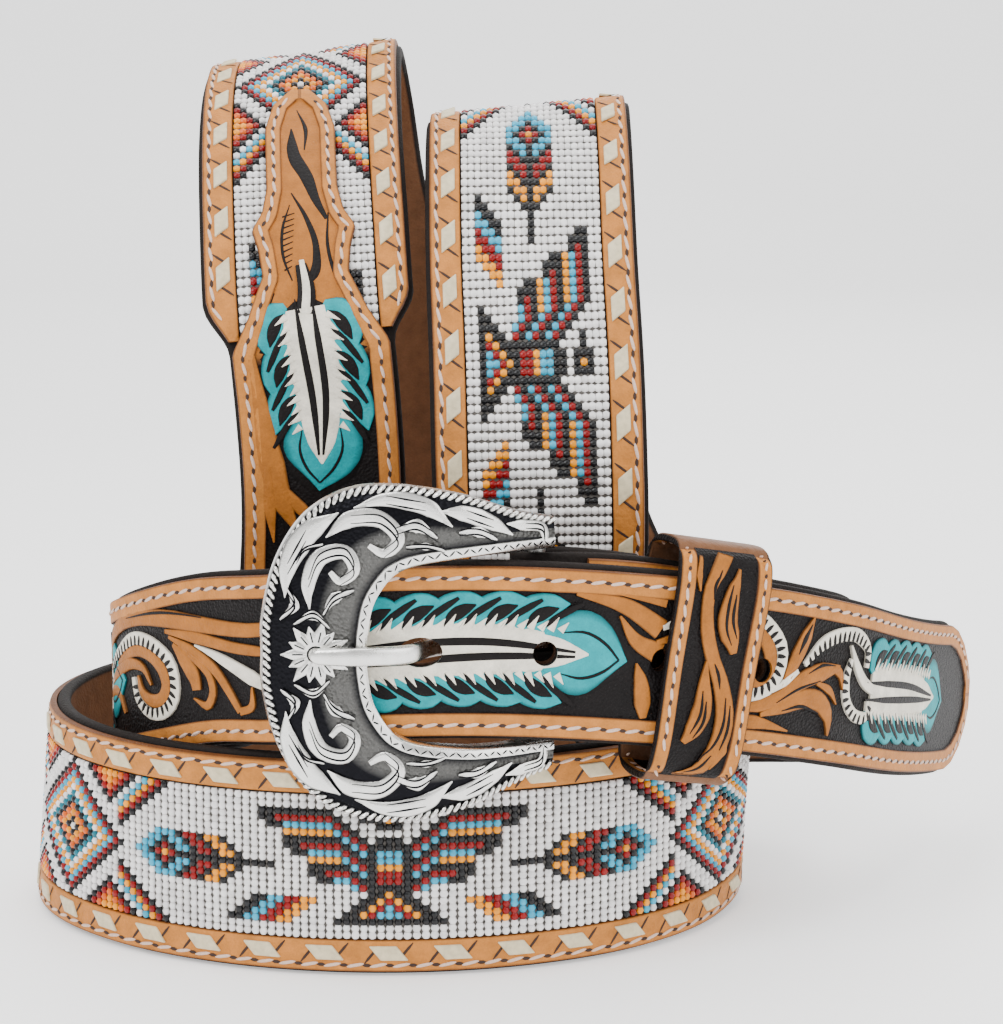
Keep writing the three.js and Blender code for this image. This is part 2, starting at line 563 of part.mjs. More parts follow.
function strapBase() {
  const half = BASE_THICKNESS / 2;
  const corners = (frame, width) => {
    const seam = Math.min(BORDER_INNER - FIT_GAP / 2, SEAM_SHARE * width);
    return layerCorners(frame, [-width, -seam, seam, width], -half, half);
  };
  const sections = stationsBetween(0, BELT_LENGTH).map((at) => corners(frameAt(at), beltHalfWidth(at)));
  for (const frame of heelWrapFrames()) sections.push(corners(frame, NARROW_WIDTH / 2));
  const slotLength = 2 * WRAP_RADIUS + BASE_THICKNESS + 2 * FIT_GAP + TONGUE_WIDTH;
  const slot = new THREE.BoxGeometry(slotLength, TONGUE_WIDTH + 2 * FIT_GAP, 4 * WRAP_RADIUS);
  const slotMiddle = BAR_CENTRE.clone().addScaledVector(HEEL.along, TONGUE_WIDTH / 4);
  const slotSolid = placed(slot, HEEL.along, HEEL.edge, HEEL.out.clone().negate(), slotMiddle);
  return toGeometry(punchHoles(toSolid(loft(sections, { turned: 3 }))).subtract(slotSolid));
}

// A billet's face lies on the base, is thicker just before the shoulder, and its tab lies on the beads.
function faceSection(at, shoulder, direction) {
  const past = (at - shoulder) * direction;
  const half = past > 0 ? tabHalfWidth(past) : beltHalfWidth(at) - EDGE_REVEAL;
  const rise = smoothShare(past, -FACE_RISE_LENGTH, 0);
  const onBeads = past > SHOULDER_LENGTH / 4 - 1.5 * FIT_GAP;
  return {
    low: -half,
    high: half,
    inner: onBeads ? TAB_BASE : FACE_BASE,
    outer: FACE_TOP + (TAB_TOP - FACE_TOP) * rise,
  };
}

function tipBilletFace() {
  const section = (at) => faceSection(at, TIP_SHOULDER, 1);
  const face = ribbon(EDGE_REVEAL, TIP_SHOULDER + TAB_LENGTH, section);
  return toGeometry(punchHoles(toSolid(face)));
}

function buckleBilletFace() {
  const section = (at) => faceSection(at, BUCKLE_SHOULDER, -1);
  return ribbon(BUCKLE_SHOULDER - TAB_LENGTH, BELT_LENGTH - HEEL_FACE_SETBACK, section);
}

function beadPanel() {
  const section = () => ({
    low: -PANEL_HALF_WIDTH,
    high: PANEL_HALF_WIDTH,
    inner: FACE_BASE,
    outer: BEAD_TOP,
  });
  return ribbon(PANEL_START, PANEL_END, section);
}

// side is 1 for the strip along the upper edge and -1 for the lower one.
function borderStrip(side) {
  const section = (at) => {
    const edge = beltHalfWidth(at) - EDGE_REVEAL;
    return {
      low: Math.min(side * BORDER_INNER, side * edge),
      high: Math.max(side * BORDER_INNER, side * edge),
      inner: FACE_BASE,
      outer: FACE_TOP,
    };
  };
  return ribbon(PANEL_START, PANEL_END, section);
}

// How far behind a frame of the front strap the middle of the billet under it lies.
function billetBehind(frame) {
  const billet = LINE.filter((other) => other.at > BELT_LENGTH - BUCKLE_BILLET_LENGTH / 2);
  const offAlong = (other) => Math.abs(other.point.clone().sub(frame.point).dot(frame.along));
  const nearest = billet.reduce((best, other) => (offAlong(other) < offAlong(best) ? other : best));
  return frame.point.clone().sub(nearest.point).dot(frame.out);
}

function keeperLoop() {
  const inFront = FACE_TOP + KEEPER_CLEARANCE;
  const stops = [-0.5, 0, 0.5].map((share) => {
    const frame = frameAt(KEEPER_AT + share * KEEPER_WIDTH);
    const behind = billetBehind(frame) + BASE_THICKNESS / 2 + KEEPER_CLEARANCE;
    return { frame, depth: inFront + behind + KEEPER_THICKNESS, centre: (inFront - behind) / 2 };
  });
  const rows = KEEPER_LOOP.map((row) => new THREE.Vector2(row.depth, row.height));
  const sections = [];
  for (let i = 0; i < KEEPER_STEPS; i += 1) {
    const walls = [1, -1].map((side) =>
      stops.map(({ frame, depth, centre }) => {
        const scaled = rows.map((row) => new THREE.Vector3(row.x * depth, (row.y * KEEPER_HEIGHT) / 2, 0));
        const loop = new THREE.CatmullRomCurve3(scaled, true, 'centripetal');
        const at = loop.getPoint(i / KEEPER_STEPS);
        const tangent = loop.getTangent(i / KEEPER_STEPS);
        const half = (side * KEEPER_THICKNESS) / 2;
        return place(frame, at.y + half * tangent.x, centre - at.x + half * tangent.y);
      }),
    );
    sections.push([...walls[0], ...walls[1].reverse()]);
  }
  return loft(sections, { closed: true });
}

// A point of the buckle: share along it from the outer side to the arm ends, rise above its
// middle, and height in front of its curved back.
function bucklePoint(along, rise, height) {
  const fromBar = (1 - along) * BUCKLE_LENGTH - LUG_LENGTH / 2;
  const forward = BUCKLE_BOW * linearThrough(BUCKLE_CURVE, 'along', 'bow', along) + height;
  return BAR_CENTRE.clone()
    .addScaledVector(HEEL.along, fromBar)
    .addScaledVector(HEEL.edge, rise)
    .addScaledVector(HEEL.out, forward);
}

function buckleFrame() {
  const knots = BUCKLE_OUTLINE.map((_, i) => i);
  const value = (key, at) => cubicThrough(BUCKLE_OUTLINE.map((row) => row[key]), knots, at);
  const last = BUCKLE_OUTLINE.length - 1;
  const outerHalf = BUCKLE_HEIGHT / 2;
  const windowHalf = NARROW_WIDTH / 2 + WINDOW_CLEARANCE;
  const section = (at, side) => {
    const outer = { along: value('along', at), rise: side * outerHalf * value('rise', at) };
    const inner = { along: value('inner_along', at), rise: side * windowHalf * value('inner_rise', at) };
    return BUCKLE_PROFILE.map(({ across, height }) =>
      bucklePoint(
        outer.along + across * (inner.along - outer.along),
        outer.rise + across * (inner.rise - outer.rise),
        height * BUCKLE_THICKNESS,
      ),
    );
  };
  const sections = [];
  for (let i = 0; i < last * BUCKLE_STEPS; i += 1) sections.push(section(i / BUCKLE_STEPS, 1));
  for (let i = last * BUCKLE_STEPS; i >= 0; i -= 1) sections.push(section(i / BUCKLE_STEPS, -1));
  let frame = toSolid(loft(sections));
  const barHalf = windowHalf + LUG_HEIGHT / 2;
  const bar = new THREE.CylinderGeometry(BAR_RADIUS, BAR_RADIUS, 2 * barHalf, 20);
  frame = frame.add(placed(bar, HEEL.along, HEEL.edge, HEEL.out.clone().negate(), BAR_CENTRE));
  const armBack = BUCKLE_BOW * linearThrough(BUCKLE_CURVE, 'along', 'bow', 1);
  const lugReach = BAR_RADIUS + armBack + BUCKLE_THICKNESS / 2;
  for (const side of [1, -1]) {
    const lug = new THREE.BoxGeometry(LUG_LENGTH, LUG_HEIGHT, lugReach);
    const middle = BAR_CENTRE.clone()
      .addScaledVector(HEEL.edge, side * (windowHalf + LUG_HEIGHT / 2))
      .addScaledVector(HEEL.out, lugReach / 2 - BAR_RADIUS);
    frame = frame.add(placed(lug, HEEL.along, HEEL.edge, HEEL.out.clone().negate(), middle));
  }
  return toGeometry(frame);
}

function buckleTongue() {
  const hole = frameAt(HOLE_IN_USE_AT);
  const stackMiddle = (FACE_TOP - BASE_THICKNESS / 2) / 2;
  const fromHole = (along, out) =>
    hole.point.clone().addScaledVector(hole.along, along).addScaledVector(hole.out, stackMiddle + out);
  const fromBar = (along, out) =>
    BAR_CENTRE.clone().addScaledVector(HEEL.along, along).addScaledVector(HEEL.out, out);
  const onSide = (along) => bucklePoint(along, 0, BUCKLE_THICKNESS + 2 * FIT_GAP + TONGUE_THICKNESS / 2);
  const ringMiddle = BAR_RADIUS + FIT_GAP + TONGUE_THICKNESS / 2;
  const stackHalf = (FACE_TOP + BASE_THICKNESS / 2) / 2;
  const lean = stackHalf / Math.tan(TONGUE_LEAN);
  const path = new THREE.CatmullRomCurve3(
    [
      fromBar(0, ringMiddle),
      fromBar(2 * BAR_RADIUS, ringMiddle),
      fromHole(-lean - 1.6 * TONGUE_THICKNESS, -stackHalf - 1.1 * TONGUE_THICKNESS),
      fromHole(-lean, -stackHalf),
      fromHole(lean, stackHalf),
      fromHole(lean + TONGUE_THICKNESS, stackHalf + 0.9 * TONGUE_THICKNESS),
      onSide(BUCKLE_OUTLINE[8].inner_along - 0.03),
      onSide(TONGUE_END_ALONG),
    ],
    false,
    'centripetal',
  );
  const sections = [];
  for (let i = 0; i <= TONGUE_STEPS; i += 1) {
    const share = i / TONGUE_STEPS;
    const tangent = path.getTangentAt(share);
    const edge = HEEL.edge.clone().addScaledVector(tangent, -HEEL.edge.dot(tangent)).normalize();
    const front = edge.clone().cross(tangent);
    const taper = 1 - (1 - TONGUE_TIP_SHARE) * smoothShare(share, 0.8, 1);
    const point = path.getPointAt(share);
    sections.push(
      TONGUE_PROFILE.map(({ across, height }) =>
        point
          .clone()
          .addScaledVector(edge, (across * taper * TONGUE_WIDTH) / 2)
          .addScaledVector(front, (height * TONGUE_THICKNESS) / 2),
      ),
    );
  }
  const ringOuter = BAR_RADIUS + FIT_GAP + TONGUE_THICKNESS;
  const outer = new THREE.CylinderGeometry(ringOuter, ringOuter, TONGUE_WIDTH, 24);
  const innerRadius = BAR_RADIUS + FIT_GAP;
  const inner = new THREE.CylinderGeometry(innerRadius, innerRadius, 2 * TONGUE_WIDTH, 24);
  const atBar = (geometry) => placed(geometry, HEEL.along, HEEL.edge, HEEL.out.clone().negate(), BAR_CENTRE);
  return toGeometry(toSolid(loft(sections)).add(atBar(outer)).subtract(atBar(inner)));
}

const PARTS = [
  { name: 'strap_base', geometry: strapBase(), color: 0x5a3a24, roughness: 0.75, metalness: 0 },
  { name: 'tip_billet_face', geometry: tipBilletFace(), color: 0xb9783f, roughness: 0.6, metalness: 0 },
  { name: 'buckle_billet_face', geometry: buckleBilletFace(), color: 0xb9783f, roughness: 0.6, metalness: 0 },
  { name: 'border_upper', geometry: borderStrip(1), color: 0xc08a50, roughness: 0.6, metalness: 0 },
  { name: 'border_lower', geometry: borderStrip(-1), color: 0xc08a50, roughness: 0.6, metalness: 0 },
  { name: 'bead_panel', geometry: beadPanel(), color: 0xe8e4dc, roughness: 0.35, metalness: 0 },
  { name: 'keeper_loop', geometry: keeperLoop(), color: 0xa9682f, roughness: 0.6, metalness: 0 },
  { name: 'buckle_frame', geometry: buckleFrame(), color: 0xb4b4b2, roughness: 0.3, metalness: 1 },
  { name: 'buckle_tongue', geometry: buckleTongue(), color: 0xb4b4b2, roughness: 0.3, metalness: 1 },
];

// The origin is under the middle of the belt's box, on the surface it stands on.
const WHOLE = new THREE.Box3();
for (const { geometry } of PARTS) {
  geometry.computeBoundingBox();
  WHOLE.union(geometry.boundingBox);
}
const MIDDLE = WHOLE.getCenter(new THREE.Vector3());

const belt = new THREE.Group();
belt.name = 'beaded_belt';
for (const { name, geometry, color, roughness, metalness } of PARTS) {
  geometry.translate(-MIDDLE.x, -MIDDLE.y, -WHOLE.min.z);
  const material = new THREE.MeshStandardMaterial({ color, roughness, metalness });
  const mesh = new THREE.Mesh(geometry, material);
  mesh.name = name;
  belt.add(mesh);
}

export default belt;
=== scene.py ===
"""A beaded western belt, dressed over its solids: leather, beadwork, lacing, tooling and silver."""
import math

import bpy
import numpy as np
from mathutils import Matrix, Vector


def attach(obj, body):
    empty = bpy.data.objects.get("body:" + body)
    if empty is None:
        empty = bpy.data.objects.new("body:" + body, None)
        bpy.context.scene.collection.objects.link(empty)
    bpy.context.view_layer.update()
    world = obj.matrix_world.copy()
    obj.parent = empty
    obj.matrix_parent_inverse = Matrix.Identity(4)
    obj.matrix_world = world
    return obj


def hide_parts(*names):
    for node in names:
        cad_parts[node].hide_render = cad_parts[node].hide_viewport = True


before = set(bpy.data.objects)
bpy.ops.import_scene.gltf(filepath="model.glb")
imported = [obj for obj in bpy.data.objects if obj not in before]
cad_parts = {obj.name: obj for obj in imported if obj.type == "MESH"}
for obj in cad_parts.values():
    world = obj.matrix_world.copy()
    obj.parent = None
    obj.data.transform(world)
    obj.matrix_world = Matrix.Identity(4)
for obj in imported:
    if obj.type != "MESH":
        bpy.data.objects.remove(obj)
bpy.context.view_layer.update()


bl_info = {
    "name": "Beaded Western Belt",
    "version": (1, 0, 0),
    "blender": (4, 5, 0),
    "location": "View3D > Sidebar > Belt",
    "description": "Builds a beaded western belt laid in a buckled stack",
    "category": "Add Mesh",
}

MM = 0.001

# Sizes of the belt in millimetres, as its solids have them.
NARROW_WIDTH = 38.0
WIDE_WIDTH = 48.5
BASE_THICKNESS = 3.0
FACE_BASE = 1.8
FACE_TOP = 3.4
TAB_BASE = 4.0
TAB_TOP = 5.4
BORDER_INNER = 16.15
EDGE_REVEAL = 1.0
TIP_POINT_LENGTH = 26.0
TIP_SHOULDER = 452.0
BUCKLE_BILLET_LENGTH = 190.0
SHOULDER_LENGTH = 12.0
TAB_LENGTH = 72.0
FACE_RISE_LENGTH = 12.0
HEEL_FACE_SETBACK = 9.0
FOLD_BACK_LENGTH = 20.0
COIL_WIDTH = 166.0
COIL_DEPTH = 128.0
LOOP_HEIGHT = 196.5
STRAP_LEVEL = WIDE_WIDTH + 6.5 + NARROW_WIDTH / 2
BAR_RADIUS = 2.2
WRAP_RADIUS = BAR_RADIUS + 0.3 + BASE_THICKNESS / 2
HOLE_PITCH = 25.4
HOLE_RADIUS = 2.65
BAR_TO_HOLE = 26.0
BAR_TO_KEEPER = 34.5
# Middle of the solids' box, which is the frame's origin, in the route's own numbers.
BOX_MIDDLE = np.array([5.043, 57.523, -0.05])

# Where the middle of the belt runs from the tip to the heel bar: x and y as shares of the coil's
# width and depth, the height as a share of the named height, and the way to the upper edge.
HEIGHTS = {"wide": WIDE_WIDTH, "strap": STRAP_LEVEL, "loop": LOOP_HEIGHT}
ROUTE = [
    ("tip", 0.711, 0.875, "strap", 0.486, (0.0, 0.0, 1)),
    ("tip_curl", 0.633, 0.625, "strap", 0.568, (0, 0, 1)),
    ("tip_bend", 0.548, 0.391, "strap", 0.669, (0, 0, 1)),
    ("tip_run", 0.452, 0.188, "strap", 0.784, (0, 0, 1)),
    ("keeper_run", 0.313, 0.023, "strap", 0.892, (0, 0, 1)),
    ("front_right", 0.163, -0.074, "strap", 0.959, (0, 0, 1)),
    ("front_middle", 0.0, -0.117, "strap", 0.993, (0, 0, 1)),
    ("front_bar", -0.163, -0.109, "strap", 0.986, (0, 0, 1)),
    ("front_left", -0.289, -0.031, "strap", 0.939, (0, 0, 1)),
    ("front_inside", -0.38, 0.07, "strap", 0.9, (0, 0, 1)),
    ("left_turn_in", -0.464, 0.18, "strap", 0.824, (0, 0, 1)),
    ("left_turn", -0.524, 0.328, "strap", 0.736, (0, 0, 1)),
    ("left_turn_out", -0.518, 0.484, "strap", 0.682, (0, 0, 1)),
    ("fold_start", -0.434, 0.586, "strap", 0.676, (0.02, 0.05, 1)),
    ("fold_quarter", -0.349, 0.559, "strap", 0.682, (0.15, 0.5, 0.85)),
    ("fold_middle", -0.292, 0.492, "strap", 0.743, (0.5, 0.7, 0.5)),
    ("fold_end", -0.265, 0.422, "strap", 0.872, (0.85, 0.5, 0.15)),
    ("left_leg_foot", -0.253, 0.387, "loop", 0.397, (1, 0.05, 0.0)),
    ("left_leg_low", -0.247, 0.355, "loop", 0.494, (1, 0, 0.0)),
    ("left_leg_shoulder", -0.253, 0.344, "loop", 0.601, (1, 0, 0)),
    ("left_leg_lean", -0.265, 0.367, "loop", 0.702, (1, 0, 0)),
    ("left_leg_high", -0.277, 0.469, "loop", 0.814, (1, 0, 0)),
    ("left_leg_top", -0.289, 0.625, "loop", 0.911, (1, 0, 0)),
    ("left_arch_front", -0.295, 0.805, "loop", 0.982, (1, 0, 0.1)),
    ("left_arch_top", -0.295, 0.961, "loop", 1.0, (1, 0, 0.16)),
    ("left_arch_back", -0.283, 1.07, "loop", 0.936, (1, 0.0, 0.2)),
    ("left_back_high", -0.259, 0.985, "loop", 0.814, (1, 0.0, 0.22)),
    ("left_back", -0.211, 0.885, "loop", 0.687, (1, 0, 0.25)),
    ("left_back_low", -0.133, 0.77, "loop", 0.565, (1, 0.0, 0.25)),
    ("under_turn_in", -0.042, 0.656, "loop", 0.458, (1, 0.1, 0.2)),
    ("under_turn", 0.024, 0.484, "loop", 0.382, (1, 0.1, 0.05)),
    ("under_turn_out", 0.051, 0.32, "loop", 0.382, (1, 0.05, 0)),
    ("right_leg_foot", 0.054, 0.234, "loop", 0.458, (1, 0, 0)),
    ("right_leg_low", 0.051, 0.23, "loop", 0.555, (1, 0, 0)),
    ("right_leg_middle", 0.048, 0.281, "loop", 0.651, (1, 0, 0)),
    ("right_leg_high", 0.042, 0.367, "loop", 0.758, (1, 0, 0)),
    ("right_leg_top", 0.039, 0.484, "loop", 0.87, (1, 0, 0)),
    ("right_arch_top", 0.039, 0.656, "loop", 0.936, (1, 0, 0.1)),
    ("right_arch_back", 0.045, 0.82, "loop", 0.891, (1, 0, 0.1)),
    ("right_back_high", 0.051, 0.985, "loop", 0.774, (1, 0.0, 0.1)),
    ("right_back", 0.054, 1.005, "loop", 0.641, (1, 0.0, 0.15)),
    ("right_back_low", 0.06, 0.98, "loop", 0.514, (0.95, 0.1, 0.3)),
    ("sweep_in", 0.084, 0.891, "loop", 0.397, (0.75, 0.2, 0.55)),
    ("sweep_middle", 0.139, 0.805, "loop", 0.3, (0.5, 0.2, 0.8)),
    ("sweep_low", 0.217, 0.703, "wide", 0.887, (0.25, 0.1, 0.95)),
    ("sweep_out", 0.289, 0.586, "wide", 0.66, (0.12, 0, 1)),
    ("coil_right", 0.334, 0.438, "wide", 0.55, (0.06, 0.0, 1)),
    ("coil_right_front", 0.292, 0.273, "wide", 0.506, (0.03, 0, 1)),
    ("coil_front_right", 0.19, 0.109, "wide", 0.5, (0, 0, 1)),
    ("coil_front_middle_right", 0.012, -0.012, "wide", 0.5, (0, 0, 1)),
    ("coil_front_middle", -0.169, -0.043, "wide", 0.5, (0, 0, 1)),
    ("coil_front_left", -0.349, 0.0, "wide", 0.5, (0, 0, 1)),
    ("coil_left_front", -0.506, 0.117, "wide", 0.5, (0.04, 0, 1)),
    ("coil_left_in", -0.608, 0.289, "wide", 0.5, (0.08, 0, 1)),
    ("coil_left", -0.639, 0.484, "wide", 0.5, (0.08, 0, 1)),
    ("coil_left_out", -0.599, 0.68, "wide", 0.5, (0.04, 0, 1)),
    ("coil_back_left", -0.506, 0.828, "wide", 0.5, (0, 0, 1)),
    ("coil_back_middle_left", -0.349, 0.898, "wide", 0.5, (0, 0, 1)),
    ("coil_back_middle", -0.169, 0.93, "wide", 0.526, (0, 0, 1)),
    ("coil_back", 0.012, 0.941, "wide", 0.598, (0, 0, 1)),
    ("coil_back_right", 0.193, 0.922, "wide", 0.701, (0, 0, 1)),
    ("coil_rise", 0.349, 0.836, "strap", 0.514, (0, 0, 1)),
    ("right_turn_in", 0.458, 0.688, "strap", 0.581, (0, 0, 1)),
    ("right_turn", 0.494, 0.516, "strap", 0.662, (0, 0, 1)),
    ("right_turn_out", 0.47, 0.367, "strap", 0.736, (0, 0, 1)),
    ("billet_run", 0.398, 0.23, "strap", 0.811, (0, 0, 1)),
    ("billet_keeper", 0.286, 0.082, "strap", 0.899, (0, 0, 1)),
    ("billet_front", 0.148, -0.016, "strap", 0.98, (0, 0, 1)),
    ("heel_lead", 0.096, -0.034, "strap", 0.993, (0, 0, 1)),
    ("heel", 0.048, -0.047, "strap", 0.993, (0, 0, 1)),
]

# Half widths: shares of the length named beside each table and of the narrow half width.
TIP_OUTLINE = [(0, 0.184), (0.16, 0.5), (0.4, 0.76), (0.7, 0.93), (1, 1)]
TAB_OUTLINE = [
    (0, 0.947), (0.1, 0.72), (0.22, 0.52), (0.31, 0.56), (0.38, 0.63),
    (0.44, 0.5), (0.53, 0.435), (0.8, 0.435), (0.92, 0.34), (1, 0.13),
]


def cubic_through(values, knots, at):
    """Cubic through table rows, with the slopes of their neighbours."""
    values = np.asarray(values, float)
    slopes = np.empty_like(values)
    slopes[0] = (values[1] - values[0]) / (knots[1] - knots[0])
    slopes[-1] = (values[-1] - values[-2]) / (knots[-1] - knots[-2])
    for i in range(1, len(values) - 1):
        before = (values[i] - values[i - 1]) / (knots[i] - knots[i - 1])
        after = (values[i + 1] - values[i]) / (knots[i + 1] - knots[i])
        weight = (knots[i] - knots[i - 1]) / (knots[i + 1] - knots[i - 1])
        slopes[i] = before * (1 - weight) + after * weight
    i = np.clip(np.searchsorted(knots, at) - 1, 0, len(knots) - 2)
    span = (knots[i + 1] - knots[i])[:, None]
    t = (at - knots[i])[:, None] / span
    ease = t * t * (3 - 2 * t)
    lead = t * (1 - t) ** 2 * span * slopes[i]
    trail = t * t * (t - 1) * span * slopes[i + 1]
    return values[i] * (1 - ease) + values[i + 1] * ease + lead + trail


def unit(vectors):
    return vectors / np.linalg.norm(vectors, axis=-1, keepdims=True)


def running_length(points):
    return np.concatenate([[0], np.cumsum(np.linalg.norm(np.diff(points, axis=0), axis=1))])


def belt_line():
    """The belt's middle line: length, point, along and edge at every 2 mm."""
    rows = np.array([[x * COIL_WIDTH, y * COIL_DEPTH, z * HEIGHTS[name]] for _, x, y, name, z, _ in ROUTE])
    edges = unit(np.array([row[5] for row in ROUTE], float))
    knots = running_length(rows)
    at = np.linspace(0, knots[-1], round(knots[-1] / 2) + 1)
    points, edge = cubic_through(rows, knots, at), cubic_through(edges, knots, at)
    for _ in range(12):
        points[1:-1] = (2 * points[1:-1] + points[:-2] + points[2:]) / 4
        edge[1:-1] = (2 * edge[1:-1] + edge[:-2] + edge[2:]) / 4
    along = unit(np.concatenate([points[1:2] - points[:1], points[2:] - points[:-2],
        points[-1:] - points[-2:-1]]))
    edge = unit(edge - along * (edge * along).sum(1, keepdims=True))
    return running_length(points), points - BOX_MIDDLE, along, edge


LINE_AT, LINE_POINT, LINE_ALONG, LINE_EDGE = belt_line()
BELT_LENGTH = float(LINE_AT[-1])
BUCKLE_SHOULDER = BELT_LENGTH - BUCKLE_BILLET_LENGTH
PANEL_START = TIP_SHOULDER + SHOULDER_LENGTH / 4
PANEL_END = BUCKLE_SHOULDER - SHOULDER_LENGTH / 4


def lerp_columns(table, at):
    return np.stack([np.interp(at, LINE_AT, table[:, k]) for k in range(3)], axis=-1)


def frames(at):
    """Point, along, edge and out of the belt line at each length."""
    at = np.atleast_1d(np.asarray(at, float))
    along = unit(lerp_columns(LINE_ALONG, at))
    edge = lerp_columns(LINE_EDGE, at)
    edge = unit(edge - along * (edge * along).sum(1, keepdims=True))
    return lerp_columns(LINE_POINT, at), along, edge, np.cross(edge, along)


def on_belt(at, across, out):
    """Points on the belt from their lengths, distances across and distances out."""
    point, _, edge, normal = frames(at)
    return point + edge * np.reshape(across, (-1, 1)) + normal * np.reshape(out, (-1, 1))


HEEL_POINT, HEEL_ALONG, HEEL_EDGE, HEEL_OUT = (value[0] for value in frames(BELT_LENGTH))
BAR_CENTRE = HEEL_POINT - HEEL_OUT * WRAP_RADIUS


def front_strap_at(past_bar):
    """Length at which the front strap lies a distance past the heel bar."""
    distance = (LINE_POINT - BAR_CENTRE) @ HEEL_ALONG
    i = int(np.argmax(distance > past_bar))
    share = (past_bar - distance[i - 1]) / (distance[i] - distance[i - 1])
    return float(LINE_AT[i - 1] + share * (LINE_AT[i] - LINE_AT[i - 1]))


HOLE_IN_USE_AT = front_strap_at(BAR_TO_HOLE)
KEEPER_AT = front_strap_at(-BAR_TO_KEEPER)
HOLES_AT = [HOLE_IN_USE_AT + (i - 3) * HOLE_PITCH for i in range(5)]


def smooth(at, start, end):
    t = np.clip((at - start) / (end - start), 0, 1)
    return t * t * (3 - 2 * t)


def through(table, share):
    return np.interp(share, [row[0] for row in table], [row[1] for row in table])


def belt_half(at):
    """Half width of the base."""
    narrow = NARROW_WIDTH / 2
    wide = smooth(at, TIP_SHOULDER, TIP_SHOULDER + SHOULDER_LENGTH) - smooth(at,
        BUCKLE_SHOULDER - SHOULDER_LENGTH, BUCKLE_SHOULDER)
    half = narrow + (WIDE_WIDTH / 2 - narrow) * wide
    return np.where(at < TIP_POINT_LENGTH, narrow * through(TIP_OUTLINE, at / TIP_POINT_LENGTH), half)


def face_half(at, shoulder, direction):
    """Half width of a billet's face, its tab included."""
    past = (at - shoulder) * direction
    tab = NARROW_WIDTH / 2 * through(TAB_OUTLINE, np.clip(past / TAB_LENGTH, 0, 1))
    return np.where(past > 0, tab, belt_half(at) - EDGE_REVEAL)


# ---- Shared making of meshes and materials ----

def loft(sections, ring=False):
    """Closed skin through sections of equal corners: points and faces that point outwards."""
    count, corners = sections.shape[:2]
    rows = np.arange(count if ring else count - 1)[:, None] * corners
    here = np.arange(corners)[None, :]
    turn = (here + 1) % corners
    over = (rows + corners) % (count * corners)
    faces = np.stack([rows + here, rows + turn, over + turn, over + here], axis=-1).reshape(-1, 4)
    points = sections.reshape(-1, 3)
    a, b, c, d = (points[faces[:, k]] for k in range(4))
    volume = (a * np.cross(b, c) + a * np.cross(c, d)).sum()
    faces = faces.tolist()
    if not ring:
        last = (count - 1) * corners
        faces.append(list(range(corners - 1, -1, -1)))
        faces.append(list(range(last, last + corners)))
    if volume < 0:
        faces = [face[::-1] for face in faces]
    return points, faces


def joined(parts):
    """One list of points, faces and tints from several."""
    points, faces, tints, start = [], [], [], 0
    for part_points, part_faces, part_tints in parts:
        points.append(part_points)
        tints.append(part_tints)
        faces.extend([[start + k for k in face] for face in part_faces])
        start += len(part_points)
    return np.concatenate(points), faces, np.concatenate(tints)


def tinted(tint, shape, sunk=0.0):
    """The same tint for every point; its fourth number is 1 on smooth raised leather and 0 where sunk."""
    return np.tile(np.array([*tint[:3], 1.0 - sunk]), (shape, 1))


def mesh_object(name, points, faces, tints=None, sharp=50):
    """Object at the origin from points in millimetres, with a tint for each point."""
    mesh = bpy.data.meshes.new(name)
    mesh.from_pydata((np.asarray(points) * MM).tolist(), [], faces)
    if tints is not None:
        layer = mesh.attributes.new("tint", "FLOAT_COLOR", "POINT")
        layer.data.foreach_set("color", np.asarray(tints, np.float32).ravel())
    mesh.shade_smooth()
    mesh.set_sharp_from_angle(angle=math.radians(sharp))
    piece = bpy.data.objects.new(name, mesh)
    bpy.context.scene.collection.objects.link(piece)
    return piece


def finished(piece, material, slot, *nodes):
    piece.data.materials.clear()
    piece.data.materials.append(material)
    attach(piece, "root")
    if nodes:
        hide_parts(*nodes)
    return piece


def points_and_tints(mesh):
    points = np.empty(len(mesh.vertices) * 3)
    mesh.vertices.foreach_get("co", points)
    tints = np.empty(len(mesh.vertices) * 4)
    mesh.attributes["tint"].data.foreach_get("color", tints)
    return points.reshape(-1, 3), tints.reshape(-1, 4)


def punched(piece, cutters):
    """Cuts the cutters out of a piece and removes them; new points take the nearest old tint."""
    old_points, old_tints = points_and_tints(piece.data)
    for cutter in cutters:
        cut = piece.modifiers.new("punch", "BOOLEAN")
        cut.operation = "DIFFERENCE"
        cut.solver = "MANIFOLD"
        cut.object = cutter
    graph = bpy.context.evaluated_depsgraph_get()
    mesh = bpy.data.meshes.new_from_object(piece.evaluated_get(graph))
    mesh.materials.clear()
    mesh.polygons.foreach_set("material_index", np.zeros(len(mesh.polygons), np.int32))
    piece.modifiers.clear()
    piece.data = mesh
    if mesh.vertices:
        points, tints = points_and_tints(mesh)
        for i in np.nonzero(tints.min(axis=1) > 0.999)[0]:
            tints[i] = old_tints[np.argmin(((old_points - points[i]) ** 2).sum(axis=1))]
        mesh.attributes["tint"].data.foreach_set("color", tints.ravel())
    for cutter in cutters:
        bpy.data.objects.remove(cutter)
    return piece


